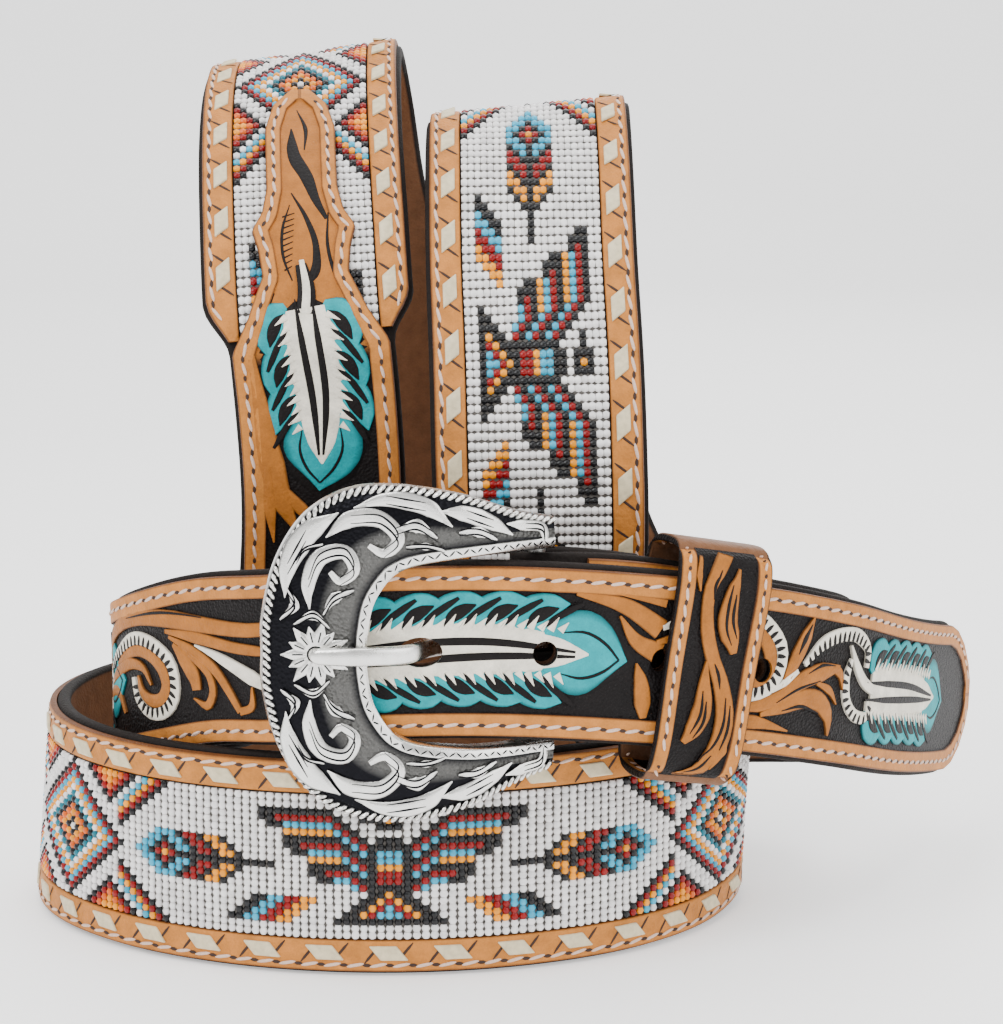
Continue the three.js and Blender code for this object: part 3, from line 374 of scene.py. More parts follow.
def scatter_tree(name):
    """Sets one piece on every point of a mesh, standing along its out_way and turned to its along_way."""
    tree = bpy.data.node_groups.new(name, "GeometryNodeTree")
    face = tree.interface
    face.new_socket("Points", in_out="INPUT", socket_type="NodeSocketGeometry")
    face.new_socket("Piece", in_out="INPUT", socket_type="NodeSocketObject")
    size = face.new_socket("Size", in_out="INPUT", socket_type="NodeSocketFloat")
    size.default_value = 1.0
    face.new_socket("Material", in_out="INPUT", socket_type="NodeSocketMaterial")
    face.new_socket("Geometry", in_out="OUTPUT", socket_type="NodeSocketGeometry")
    nodes, links = tree.nodes, tree.links
    start, end = nodes.new("NodeGroupInput"), nodes.new("NodeGroupOutput")
    ways = []
    for way, kind in (("out_way", "FLOAT_VECTOR"), ("along_way", "FLOAT_VECTOR"), ("size", "FLOAT_VECTOR")):
        read = nodes.new("GeometryNodeInputNamedAttribute")
        read.data_type = kind
        read.inputs["Name"].default_value = way
        ways.append(read)
    stand = nodes.new("FunctionNodeAlignRotationToVector")
    stand.axis = "Z"
    links.new(ways[0].outputs["Attribute"], stand.inputs["Vector"])
    turn = nodes.new("FunctionNodeAlignRotationToVector")
    turn.axis = "X"
    turn.pivot_axis = "Z"
    links.new(stand.outputs["Rotation"], turn.inputs["Rotation"])
    links.new(ways[1].outputs["Attribute"], turn.inputs["Vector"])
    piece = nodes.new("GeometryNodeObjectInfo")
    links.new(start.outputs["Piece"], piece.inputs["Object"])
    scale = nodes.new("ShaderNodeVectorMath")
    scale.operation = "SCALE"
    links.new(ways[2].outputs["Attribute"], scale.inputs[0])
    links.new(start.outputs["Size"], scale.inputs["Scale"])
    onto = nodes.new("GeometryNodeInstanceOnPoints")
    links.new(start.outputs["Points"], onto.inputs["Points"])
    links.new(piece.outputs["Geometry"], onto.inputs["Instance"])
    links.new(turn.outputs["Rotation"], onto.inputs["Rotation"])
    links.new(scale.outputs["Vector"], onto.inputs["Scale"])
    real = nodes.new("GeometryNodeRealizeInstances")
    links.new(onto.outputs["Instances"], real.inputs["Geometry"])
    dress = nodes.new("GeometryNodeSetMaterial")
    links.new(real.outputs["Geometry"], dress.inputs["Geometry"])
    links.new(start.outputs["Material"], dress.inputs["Material"])
    links.new(dress.outputs["Geometry"], end.inputs["Geometry"])
    return tree


def scattered(name, shape, at, out_way, along_way, material, size=None, tints=None, scale=1.0):
    """One mesh of a shape repeated at points in millimetres, made by the scatter tree."""
    count = len(at)
    mesh = bpy.data.meshes.new(name)
    mesh.from_pydata((np.asarray(at) * MM).tolist(), [], [])
    size = np.ones((count, 3)) if size is None else size
    for key, vectors in (("out_way", out_way), ("along_way", along_way), ("size", size)):
        mesh.attributes.new(key, "FLOAT_VECTOR", "POINT")
        mesh.attributes[key].data.foreach_set("vector", np.asarray(vectors, np.float32).ravel())
    if tints is not None:
        mesh.attributes.new("tint", "FLOAT_COLOR", "POINT")
        mesh.attributes["tint"].data.foreach_set("color", np.asarray(tints, np.float32).ravel())
    piece = bpy.data.objects.new(name, mesh)
    bpy.context.scene.collection.objects.link(piece)
    tree = bpy.data.node_groups.get("scatter") or scatter_tree("scatter")
    made = piece.modifiers.new("scatter", "NODES")
    made.node_group = tree
    sockets = {item.name: item.identifier for item in tree.interface.items_tree if item.in_out == "INPUT"}
    made[sockets["Piece"]] = shape
    made[sockets["Size"]] = scale
    made[sockets["Material"]] = material
    graph = bpy.context.evaluated_depsgraph_get()
    result = bpy.data.meshes.new_from_object(piece.evaluated_get(graph))
    piece.modifiers.clear()
    result.materials.clear()
    result.materials.append(material)
    piece.data = result
    for key in ("out_way", "along_way", "size"):
        if key in result.attributes:
            result.attributes.remove(result.attributes[key])
    result.shade_smooth()
    result.set_sharp_from_angle(angle=math.radians(60))
    return piece


def material_tree(name):
    material = bpy.data.materials.new(name)
    material.use_nodes = True
    tree = material.node_tree
    shader = tree.nodes["Principled BSDF"]
    return material, tree, shader


def texture(tree, kind, scale, **inputs):
    """A texture node on Object coordinates, with its scale in features a metre."""
    where = tree.nodes.new("ShaderNodeTexCoord")
    node = tree.nodes.new(kind)
    node.inputs["Scale"].default_value = scale
    for key, value in inputs.items():
        node.inputs[key].default_value = value
    tree.links.new(where.outputs["Object"], node.inputs["Vector"])
    return node


def ranged(tree, source, low, high, start=0.0, end=1.0):
    """A value moved from start..end to low..high."""
    node = tree.nodes.new("ShaderNodeMapRange")
    node.inputs["From Min"].default_value = start
    node.inputs["From Max"].default_value = end
    node.inputs["To Min"].default_value = low
    node.inputs["To Max"].default_value = high
    tree.links.new(source, node.inputs["Value"])
    return node.outputs["Result"]


def maths(tree, operation, first, second):
    node = tree.nodes.new("ShaderNodeMath")
    node.operation = operation
    for i, value in enumerate((first, second)):
        if isinstance(value, (int, float)):
            node.inputs[i].default_value = value
        else:
            tree.links.new(value, node.inputs[i])
    return node.outputs["Value"]


def shaded(tree, colour, amount):
    """A colour times a brightness."""
    node = tree.nodes.new("ShaderNodeVectorMath")
    node.operation = "SCALE"
    tree.links.new(colour, node.inputs[0])
    tree.links.new(amount, node.inputs["Scale"])
    return node.outputs["Vector"]


def bumped(tree, shader, height, depth):
    """Bump of a depth in millimetres."""
    node = tree.nodes.new("ShaderNodeBump")
    node.inputs["Strength"].default_value = 1.0
    node.inputs["Distance"].default_value = depth * MM
    tree.links.new(height, node.inputs["Height"])
    tree.links.new(node.outputs["Normal"], shader.inputs["Normal"])


def leather(name, roughness, grain_depth, stipple=0.0):
    """Leather coloured by its points' tint, with grain, mottling and stippling where it is sunk."""
    found = bpy.data.materials.get(name + "_finish")
    if found:
        return found
    material, tree, shader = material_tree(name + "_finish")
    tint = tree.nodes.new("ShaderNodeAttribute")
    tint.attribute_name = "tint"
    mottle = texture(tree, "ShaderNodeTexNoise", 260, Detail=5.0, Roughness=0.6)
    fine = texture(tree, "ShaderNodeTexNoise", 2600, Detail=3.0)
    patches = ranged(tree, mottle.outputs["Fac"], 0.8, 1.16, 0.3, 0.7)
    specks = ranged(tree, fine.outputs["Fac"], 0.93, 1.07, 0.3, 0.7)
    colour = shaded(tree, tint.outputs["Color"], maths(tree, "MULTIPLY", patches, specks))
    tree.links.new(colour, shader.inputs["Base Color"])
    tree.links.new(ranged(tree, fine.outputs["Fac"], roughness - 0.08, roughness + 0.1),
        shader.inputs["Roughness"])
    cells = texture(tree, "ShaderNodeTexVoronoi", 1300)
    height = maths(tree, "ADD", fine.outputs["Fac"], cells.outputs["Distance"])
    if stipple:
        dots = texture(tree, "ShaderNodeTexVoronoi", 1500)
        sunk = ranged(tree, tint.outputs["Alpha"], stipple / grain_depth, 0.0)
        height = maths(tree, "ADD", height, maths(tree, "MULTIPLY", dots.outputs["Distance"], sunk))
    bumped(tree, shader, height, grain_depth)
    shader.inputs["Specular IOR Level"].default_value = 0.13
    return material


def thread_material(name, colour, roughness, turns):
    """Twisted thread or thong in one colour with fine fibres."""
    found = bpy.data.materials.get(name)
    if found:
        return found
    material, tree, shader = material_tree(name)
    fibre = texture(tree, "ShaderNodeTexNoise", turns, Detail=4.0)
    ramp = tree.nodes.new("ShaderNodeValToRGB")
    ramp.color_ramp.elements[0].position = 0.25
    ramp.color_ramp.elements[0].color = [0.72 * c for c in colour[:3]] + [1]
    ramp.color_ramp.elements[1].position = 0.7
    ramp.color_ramp.elements[1].color = list(colour[:3]) + [1]
    tree.links.new(fibre.outputs["Fac"], ramp.inputs["Fac"])
    tree.links.new(ramp.outputs["Color"], shader.inputs["Base Color"])
    shader.inputs["Roughness"].default_value = roughness
    bumped(tree, shader, fibre.outputs["Fac"], 0.12)
    return material


def glass_beads():
    """Opaque glass coloured by each bead's tint."""
    material, tree, shader = material_tree("glass_beads")
    tint = tree.nodes.new("ShaderNodeAttribute")
    tint.attribute_name = "tint"
    cloud = texture(tree, "ShaderNodeTexNoise", 700, Detail=2.0)
    colour = shaded(tree, tint.outputs["Color"], ranged(tree, cloud.outputs["Fac"], 0.88, 1.08, 0.3, 0.7))
    tree.links.new(colour, shader.inputs["Base Color"])
    tree.links.new(ranged(tree, cloud.outputs["Fac"], 0.16, 0.3), shader.inputs["Roughness"])
    shader.inputs["Specular IOR Level"].default_value = 0.32
    return material


def antiqued_silver():
    """Silver that is bright where its points' tint is light and blackened where it is dark."""
    found = bpy.data.materials.get("antiqued_silver")
    if found:
        return found
    material, tree, shader = material_tree("antiqued_silver")
    tint = tree.nodes.new("ShaderNodeAttribute")
    tint.attribute_name = "tint"
    haze = texture(tree, "ShaderNodeTexNoise", 420, Detail=5.0)
    scratch = texture(tree, "ShaderNodeTexNoise", 3200, Detail=2.0)
    colour = shaded(tree, tint.outputs["Color"], ranged(tree, haze.outputs["Fac"], 0.9, 1.06, 0.3, 0.7))
    tree.links.new(colour, shader.inputs["Base Color"])
    shine = ranged(tree, haze.outputs["Fac"], 0.2, 0.34)
    dull = ranged(tree, tint.outputs["Alpha"], 0.3, 0.0)
    tree.links.new(maths(tree, "ADD", shine, dull), shader.inputs["Roughness"])
    shader.inputs["Metallic"].default_value = 1.0
    dots = texture(tree, "ShaderNodeTexVoronoi", 1300)
    pits = maths(tree, "MULTIPLY", dots.outputs["Distance"], ranged(tree, tint.outputs["Alpha"], 16.0, 0.0))
    bumped(tree, shader, maths(tree, "ADD", scratch.outputs["Fac"], pits), 0.03)
    return material


def belt_colours():
    return bpy.context.scene.belt_colours


def belt_sizes():
    return bpy.context.scene.belt_sizes


# ---- Leather ----

def heel_wrap():
    """Frames of the base past the belt line's end: round the heel bar and back behind itself."""
    wraps = []
    for turn in np.linspace(0, math.pi, 15)[1:]:
        out = HEEL_OUT * math.cos(turn) - np.cross(HEEL_EDGE, HEEL_OUT) * math.sin(turn)
        wraps.append((BAR_CENTRE + out * WRAP_RADIUS, HEEL_EDGE, out))
    gap = BASE_THICKNESS + 0.3
    for share in np.linspace(0.3, 1, 5):
        point, _, edge, out = (value[0] for value in frames(BELT_LENGTH - share * FOLD_BACK_LENGTH))
        behind = gap + (2 * WRAP_RADIUS - gap) * (1 - float(smooth(share, 0.1, 1)))
        wraps.append((point - out * behind, edge, -out))
    return wraps


def base_corners(half):
    """Rounded section of the base as (across, out, is black edge)."""
    side = BASE_THICKNESS / 2
    inner = [(-half + 0.9, -side, 1), (-half + 1.5, -side, 0), (-half / 3, -side, 0), (half / 3, -side, 0)]
    inner += [(half - 1.5, -side, 0), (half - 0.9, -side, 1)]
    right = [(half - 0.25, -side + 0.25, 1), (half, -side + 0.9, 1), (half, side - 0.9, 1),
        (half - 0.25, side - 0.25, 1)]
    outer = [(half - 0.9, side, 1), (half / 3, side, 1), (-half / 3, side, 1), (-half + 0.9, side, 1)]
    left = [(-a, o, e) for a, o, e in right[::-1]]
    return inner + right + outer + left


def hole_cutters():
    cutters = []
    for at in HOLES_AT:
        used = abs(at - HOLE_IN_USE_AT) < 1e-6
        point, along, edge, out = (value[0] for value in frames(at))
        turns = np.linspace(0, 2 * math.pi, 29)[:-1]
        along_radius, edge_radius = (4.6, 3.2) if used else (HOLE_RADIUS, HOLE_RADIUS)
        ring = along * (np.cos(turns) * along_radius)[:, None] + edge * (np.sin(turns) * edge_radius)[:,
            None]
        sections = np.stack([point + ring + out * reach for reach in (-3.0, 4.6)])
        points, faces = loft(sections)
        # The cutters carry a near-black brown tint for the walls of the punched holes: painted shade inside
        # the holes, not a leather colour.
        cutters.append(mesh_object("punch", points, faces, tinted((0.03, 0.012, 0.006), len(points), 0.4)))
    return cutters


def strap_base():
    colours = belt_colours()
    at = np.unique(np.concatenate([np.arange(0, 26, 1.0), LINE_AT[LINE_AT >= 26]]))
    sections, tints = [], []
    black = (*colours.edge_black[:3], 0.9)
    brown = (*colours.lining_brown[:3], 1.0)
    point, _, edge, out = frames(at)
    rows = [(point[i], edge[i], out[i], float(belt_half(at[i]))) for i in range(len(at))]
    rows += [(spot, up, face, NARROW_WIDTH / 2) for spot, up, face in heel_wrap()]
    for spot, up, face, half in rows:
        corners = base_corners(half)
        sections.append([spot + up * across + face * away for across, away, _ in corners])
        tints.extend(black if dark else brown for _, _, dark in corners)
    points, faces = loft(np.array(sections))
    piece = mesh_object("strap_base_leather", points, faces, tints)
    slot_turn = [(-6.4, 2.3), (6.4, 2.3), (6.4, -2.3), (-6.4, -2.3)]
    slot = np.array([[BAR_CENTRE + HEEL_ALONG * (a + 1) + HEEL_EDGE * b + HEEL_OUT * reach for a,
        b in slot_turn] for reach in (-9, 9)])
    slot_points, slot_faces = loft(slot)
    cutters = hole_cutters() + [mesh_object("punch", slot_points, slot_faces, tinted(black, 8))]
    punched(piece, cutters)
    return finished(piece, leather("lining_leather", 0.72, 0.12), "lining_leather", "strap_base")


def face_top(at, shoulder, direction):
    past = (np.asarray(at) - shoulder) * direction
    return FACE_TOP + (TAB_TOP - FACE_TOP) * smooth(past, -FACE_RISE_LENGTH, 0)


def drawn_in(at, half, reach):
    """Half widths of an outline drawn in by a reach all round, its ends too."""
    inner = np.full(len(at), np.inf)
    for shift in np.linspace(-reach, reach, 25):
        there = np.interp(at + shift, at, half, left=-reach, right=-reach)
        inner = np.minimum(inner, there - math.sqrt(max(reach**2 - shift**2, 0)))
    return np.maximum(inner, 0.02)


def face_inset(at, half, shoulder, direction, reach, tab_reach):
    """A billet face's half widths drawn in by one reach, and by another on its tab."""
    tab = smooth((at - shoulder) * direction, -4, 8)
    return drawn_in(at, half, reach) * (1 - tab) + drawn_in(at, half, tab_reach) * tab


GROUND_DEPTH = 0.6


def billet_face(name, start, end, shoulder, direction):
    """A billet's face: raised tan borders, a cut line and sunk black ground between them."""
    colours = belt_colours()
    fine = np.linspace(0, 12, 41)
    at = np.unique(np.concatenate([start + fine, np.arange(start + 13, end - 12.5, 1.25), end - fine]))
    past = (at - shoulder) * direction
    half = face_half(at, shoulder, direction)
    bottom = np.where(past > SHOULDER_LENGTH / 4 - 0.45, TAB_BASE, FACE_BASE)
    top = face_top(at, shoulder, direction)
    inner = face_inset(at, half, shoulder, direction, 5.0, 3.7)
    sunk = smooth(inner, 0.1, 0.9)
    tan = np.array([*colours.tan[:3], 1.0])
    dark = np.array([*colours.tan_burnt[:3], 1.0])
    black = np.array([*colours.dye_black[:3], 0.0])
    carved = np.array([*colours.carved_tan[:3], 1.0])
    dyed = 1 - smooth(past, -3.0, 0.0)
    steps = [
        (half, bottom, dark), (half, top - 0.55, dark), (half - 0.14, top - 0.16, dark),
            (half - 0.55, top, tan),
        (inner + 0.5, top, tan), (inner + 0.12, top - 0.1 * sunk, dark),
        (inner, top - GROUND_DEPTH * sunk, black), (0.4 * inner, top - GROUND_DEPTH * sunk, black),
    ]
    sections, tints = [], []
    for side in (1, -1):
        for across, out, tint in steps if side > 0 else steps[::-1]:
            sections.append(on_belt(at, side * across, out))
            blended = tint[None, :] * np.ones((len(at), 1))
            if tint is black:
                blended = carved + (black - carved) * (sunk * dyed)[:, None]
            tints.append(blended)
    points, faces = loft(np.stack(sections, axis=1))
    piece = mesh_object(name, points, faces, np.stack(tints, axis=1).reshape(-1, 4), sharp=40)
    if direction > 0:
        punched(piece, hole_cutters())
    return piece


def tip_point(at, across, height):
    return on_belt(at, across, face_top(at, TIP_SHOULDER, 1) + height)


def heel_point(at, across, height):
    return on_belt(at, across, face_top(at, BUCKLE_SHOULDER, -1) + height)


BLADE_SECTION = [(-1, 0), (-1, 0.7), (-0.8, 1), (-0.1, 0.92), (0.1, 0.92), (0.8, 1), (1, 0.7), (1, 0)]


def blade(surface, spine, widths, low, high, tint, shade=0.35, steps=18):
    """A leaf, petal, tendril or line: a raised strip along a spine on a surface, with dark rims."""
    spine = np.asarray(spine, float)
    knots = running_length(spine)
    at = np.linspace(0, knots[-1], steps)
    middle = cubic_through(spine, knots,
        at) if len(spine) > 2 else spine[0] + (spine[1] - spine[0]) * (at / knots[-1])[:, None]
    way = unit(np.gradient(middle, axis=0))
    aside = np.stack([-way[:, 1], way[:, 0]], axis=1)
    width = np.interp(np.linspace(0, 1, steps), np.linspace(0, 1, len(widths)), widths) / 2
    sections, tints = [], []
    for across, rise in BLADE_SECTION:
        spot = middle + aside * (width * across)[:, None]
        sections.append(surface(spot[:, 0], spot[:, 1], low + (high - low) * rise))
        rim = shade if abs(across) == 1 else 1.0
        tints.append(np.tile([tint[0] * rim, tint[1] * rim, tint[2] * rim, 1.0], (steps, 1)))
    points, faces = loft(np.stack(sections, axis=1))
    return points, faces, np.stack(tints, axis=1).reshape(-1, 4)


def near_hole(points):
    centres = on_belt(np.array(HOLES_AT), np.zeros(len(HOLES_AT)), np.full(len(HOLES_AT), FACE_TOP))
    return any(np.linalg.norm(points - centre, axis=1).min() < 9 for centre in centres)


def punched_blade(part):
    """A blade with the belt's holes cut through it, as points, faces and tints again."""
    piece = punched(mesh_object("blade", *part), hole_cutters())
    faces = [list(face.vertices) for face in piece.data.polygons]
    points, tints = points_and_tints(piece.data) if faces else (part[0], part[2])
    bpy.data.objects.remove(piece)
    return points / MM, faces, tints


def ornament(name, parts):
    parts = [punched_blade(part) if near_hole(part[0]) else part for part in parts]
    points, faces, tints = joined([part for part in parts if len(part[1])])
    return mesh_object(name, points, faces, tints, sharp=55)


def feather(surface, start, length, colours):
    """A painted feather: white body, turquoise fins and blade end, and two black quill lines."""
    white, blue, black = colours.paint_white[:3], colours.paint_blue[:3], colours.dye_black[:3]
    low, high = -GROUND_DEPTH, 0.0
    parts = []

    def at(past, across):
        share = past / length
        return (start + past, across + 1.4 * math.sin(share * math.pi) - 0.7)

    def stroke(spine, widths, tint, base, top, steps=16, shade=0.3):
        parts.append(blade(surface, [at(*point) for point in spine], widths, base, top, tint, shade=shade,
            steps=steps))

    bottom = -GROUND_DEPTH - 0.2
    stroke([(-2, 0), (8, 0), (0.6 * length, 0), (length + 1, 0)], [1, 16, 21, 25, 25, 25, 25, 22, 5], black,
        bottom, low + 0.07, 30)
    stroke([(0.28 * length, 0), (0.6 * length, 0), (0.97 * length, 0)], [13.0, 16.0, 16.0, 13.0, 5.0], blue,
        low, high - 0.12, 24)
    stroke([(0, 0), (5, 0.4), (11, 0.4), (19, 0)], [0.2, 6.5, 12.5, 16.5, 18.2, 18.0, 16.0, 12.0, 6.0],
        blue, low, high - 0.05, 24)
    for side in (1, -1):
        stroke([(1.8, 0), (5, side * 3.0), (9.5, side * 4.9), (14, side * 4.4)], [0.4, 0.7, 0.65, 0.2],
            black, high - 0.2, high + 0.03, 12)
    count = max(round((length - 15) / 8), 3)
    step = (length - 15) / count
    for side in (1, -1):
        for i in range(count):
            middle = 15 + step * (i + 0.5)
            reach = 10.9 - 0.06 * abs(middle - 0.45 * length)
            fin = [(middle + 0.5 * step, 4.4), (middle + 0.24 * step, 7.6), (middle - 0.2 * step, 9.6),
                (middle - 0.72 * step, reach)]
            slit = [(middle + 0.3 * step, 4.9), (middle + 0.12 * step, 6.8), (middle - 0.12 * step, 8.2),
                (middle - 0.46 * step, 9.4)]
            gap = [(middle - 0.06 * step, 4.6), (middle - 0.36 * step, 7.0), (middle - 0.74 * step, 9.2),
                (middle - 1.05 * step, 10.9)]
            for spine, widths, tint, base, top in (
                (fin, [1.6, 5.6, 7.2, 6.2, 4.2, 0.3], blue, low, high - 0.07 + 0.004 * i),
                (slit, [0.3, 2.2, 2.9, 2.2, 0.3], black, high - 0.2, high + 0.05),
                (gap, [0.2, 1.2, 1.5, 1.4, 0.7], black, high - 0.2, high + 0.07),
            ):
                stroke([(past, side * across) for past, across in spine], widths, tint, base, top, 14)
    body = [(0.15 * length, 0.3), (0.3 * length, 0), (0.6 * length, 0), (0.98 * length, 0)]
    stroke(body, [0.5, 6.5, 9.4, 10.8, 11.6, 12.0, 12.0, 11.6, 9.6], white, low, high + 0.02, 30, 0.8)
    for side in (1, -1):
        for i in range(4 * count):
            past = 13 + (length - 15) * (i + 0.5) / (4 * count)
            barb = [(past + 0.7, side * 4.6), (past - 0.9, side * (6.6 + 0.9 * (i % 2)))]
            stroke(barb, [1.7, 0.15], white, high - 0.3, high + 0.09, 3, 0.85)
        quill = [(0.2 * length, side * 0.5), (0.5 * length, side * 1.5), (1.03 * length, side * 2.0)]
        stroke(quill, [0.5, 1.5, 1.7, 1.5, 0.3], black, high - 0.1, high + 0.11, 18)
    return parts


def carver(surface, start, lift, parts):
    """Adds strokes to parts, placed from a point along the belt: past it along, and lifted across it."""
    def stroke(spine, widths, tint, rise=0.0, steps=18, shade=0.3, low=-GROUND_DEPTH):
        path = [(start + along, across + lift) for along, across in spine]
        parts.append(blade(surface, path, widths, low, 0.02 + rise, tint, shade=shade, steps=steps))
    return stroke


def rope(stroke, spine, width, colours, spacing=2.0):
    """A white-painted band cut across by black ticks on its inner side."""
    stroke(spine, [width * 0.4, width, width, width, width * 0.5], colours.paint_white[:3], 0.05, 30, 0.75)
    path = np.asarray(spine, float)
    knots = running_length(path)
    where = np.arange(1.4, knots[-1] - 0.8, spacing)
    middles = cubic_through(path, knots, where)
    for spot, along in zip(middles, unit(np.gradient(middles, axis=0))):
        aside = np.array([-along[1], along[0]])
        tick = [spot + aside * width * 0.5, spot - aside * width * 0.22 + along * 0.5]
        stroke(tick, [0.9, 1.1, 0.3], colours.dye_black[:3], 0.1, 4, 1.0, -0.05)


def ring_flower(stroke, colours):
    """A curled crescent with a white scalloped rim and a tan petal inside."""
    tan = colours.carved_tan[:3]
    inner = [(13, 3.4), (7, 5.0), (-0.4, 4.9), (-5.6, 2.4), (-8.0, -1), (-8.2, -4.2), (-6.0, -6.6),
        (-1.6, -6.6), (2.0, -4), (2.4, -0.4)]
    stroke(inner, [0.5, 2.4, 2.8, 3.0, 3.4, 3.6, 3.4, 3.2, 2.6, 0.6], tan, 0.0, 36)
    outer = [(20, 2.6), (12, 5.9), (-0.4, 7.7), (-7.2, 4.7), (-11.2, 0.4), (-11.5, -3.6), (-10, -7.2),
        (-6.6, -9.4), (0.8, -9.0), (4.6, -5), (4.8, -0.5)]
    rope(stroke, outer, 3.1, colours)
    stroke([(21, -0.6), (12, 2.0), (5, 2.6), (-0.6, 0.6), (-2.6, -3.2)], [1.0, 2.6, 3.0, 2.4, 0.5], tan,
        0.01)


def tip_scroll(surface, start, colours):
    """Scrollwork behind the tip's feather: a flower under the keeper, leaves, and two roped curls."""
    tan, black, white = colours.carved_tan[:3], colours.dye_black[:3], colours.paint_white[:3]
    parts = []
    ring_flower(carver(surface, start, 4.4, parts), colours)
    stroke = carver(surface, start, 0.0, parts)
    for spine, widths in (
        ([(-13.2, -3.4), (-15.4, 2.6), (-17.6, 8), (-19.3, 13.2)], [1.4, 3.0, 3.9, 3.4, 0.4]),
        ([(-1, -8.8), (-8, -7.4), (-14, -4.6), (-19, -1.0), (-26, 1.8), (-31.5, 3.2)],
            [1, 3.2, 3.4, 4.2, 4.6, 1.4]),
        ([(-27, 3.0), (-32.2, 1.8), (-34.0, -1.6)], [1.2, 2.4, 0.3]),
        ([(-24, -1.0), (-29.4, -2.4), (-32.2, -5.0)], [1.0, 2.0, 0.3]),
        ([(-8, -9.6), (-14.5, -7.2), (-21, -4.8), (-27, -5.4), (-30.3, -8.6), (-30.8, -12.2)],
            [1, 3, 4.2, 4.8, 4.0, 0.5]),
        ([(4, -12.0), (-8, -11.4), (-17, -12.4)], [2.6, 3.2, 0.4]),
    ):
        stroke(spine, widths, tan)
    for spine, widths in (
        ([(-16.2, 4.6), (-17.6, 8.6), (-18.9, 11.6)], [0.2, 1.5, 0.2]),
            ([(-12, -6.6), (-18, -3.0), (-25, -0.4)], [0.2, 0.7, 0.2]),
        ([(-14, -8.2), (-20, -6.6), (-26, -7.6)], [0.2, 0.9, 0.2]),
            ([(-20.5, 0.8), (-25, 3.1), (-29.5, 3.5)], [0.2, 0.8, 0.2]),
    ):
        stroke(spine, widths, black, 0.06, 10, 1.0, -0.1)
    stroke([(-10.2, -4.4), (-14, -1.6), (-17, 1.0)], [0.4, 2.0, 1.2], white, 0.04, 8, 0.7)
    rope(stroke, [(-18.9, 2.6), (-23.7, 7.6), (-30.7, 10.6), (-38.5, 10.8), (-43.2, 8.2), (-43.4, 4.4)],
        3.2, colours, 1.9)
    rope(stroke, [(-36.0, 5.6), (-34.9, 1.0), (-36.6, -4.0), (-41.5, -6.9), (-46.6, -6.0), (-46.2, -3.0)],
        2.9, colours, 1.9)
    stroke([(-34.8, 8.6), (-38.6, 4.4), (-43, 1.2), (-48.5, -0.4)], [0.5, 2.4, 2.8, 2.6], white, 0.1, 12,
        0.5)
    return parts


def middle_scroll(surface, start, colours):
    """Scrollwork with a flower, an arched stem over it and open leaves that fan towards the tip."""
    tan, black, white = colours.carved_tan[:3], colours.dye_black[:3], colours.paint_white[:3]
    parts = []
    stroke = carver(surface, start, 0.0, parts)
    ring_flower(stroke, colours)
    for spine, widths in (
        ([(24, 1), (19, 8.6), (9.3, 11.8), (-1.3, 12.2), (-11.4, 10.7), (-22.2, 8.1), (-37, 6.3),
            (-46, 6.6)], [1.6, 3.0, 3.2, 3.6, 4.2, 3.6, 3.2, 3.0]),
        ([(-11.5, 7.8), (-22.2, 4.9), (-30.8, 2.9), (-48, 1.0)], [1, 2.8, 2.6, 2.4, 0.5]),
        ([(-12.4, 6.4), (-20, 2.0), (-26.2, -2.6), (-29.8, -7.2), (-32.6, -11.4)],
            [0.8, 2.4, 2.6, 2.4, 1.8]),
        ([(-32.6, -11.4), (-36, -10.4), (-37, -6)], [1.8, 1.8, 0.5]),
        ([(-13.4, 4.6), (-16.4, 0.4), (-18.6, -4.2), (-18.6, -6.2)], [1, 3.8, 4.4, 3.0]),
        ([(-15, 4.0), (-20.4, 0.0), (-23.9, -3.8), (-24.2, -7), (-21.6, -9.9), (-17.2, -7.9)],
            [0.6, 1.8, 2.1, 2.4, 2.2, 0.4]),
        ([(27, -6), (21, -2.6), (14.6, -3.2), (11.8, -8)], [0.6, 2.6, 2.8, 0.8]),
    ):
        stroke(spine, widths, tan)
    stroke([(-20.5, 3.6), (-29.1, -0.2), (-45, -8.0)], [0.4, 2.4, 3.4, 0.8], white, 0.04, 10, 0.7)
    stroke([(4, 12.9), (-10, 12.2), (-24, 9.4)], [0.2, 0.8, 0.2], black, 0.06, 12, 1.0, -0.1)
    return parts


def feather_leaves(surface, start, colours):
    """Leaves that spread from a feather's blade end towards the belt's tip."""
    parts = []
    stroke = carver(surface, start, 0.0, parts)
    for spine, widths in (
        ([(12, 13.0), (1.5, 10.9), (-6.6, 6.6)], [0.8, 3.4, 4.6]), ([(4, 13.6), (-7, 12.2)], [0.4, 1.8]),
        ([(2.6, 8.8), (-1.8, 3.6), (-7, 1.4)], [0.5, 3.0, 4.8]),
            ([(-2.2, -1), (-3.8, -5), (-5.4, -12.6)], [0.4, 2.6, 3.6, 3.8, 1.6]),
    ):
        stroke(spine, widths, colours.carved_tan[:3])
    return parts


FEATHER_STARTS = [34.0, 163.0, 291.5, 420.0]
FEATHER_LENGTHS = [56.0, 56.0, 57.0, 41.0]


def tip_ornaments():
    colours = belt_colours()
    parts = []
    for start, length in zip(FEATHER_STARTS, FEATHER_LENGTHS):
        parts += feather(tip_point, start, length, colours)
    parts += tip_scroll(tip_point, 136.0, colours)
    parts += middle_scroll(tip_point, 282.0, colours)
    parts += feather_leaves(tip_point, FEATHER_STARTS[1], colours)
    parts += shoulder_leaves(tip_point, colours)
    parts += tab_carving(tip_point, TIP_SHOULDER, 1, colours)
    return ornament("tip_billet_carving", parts)


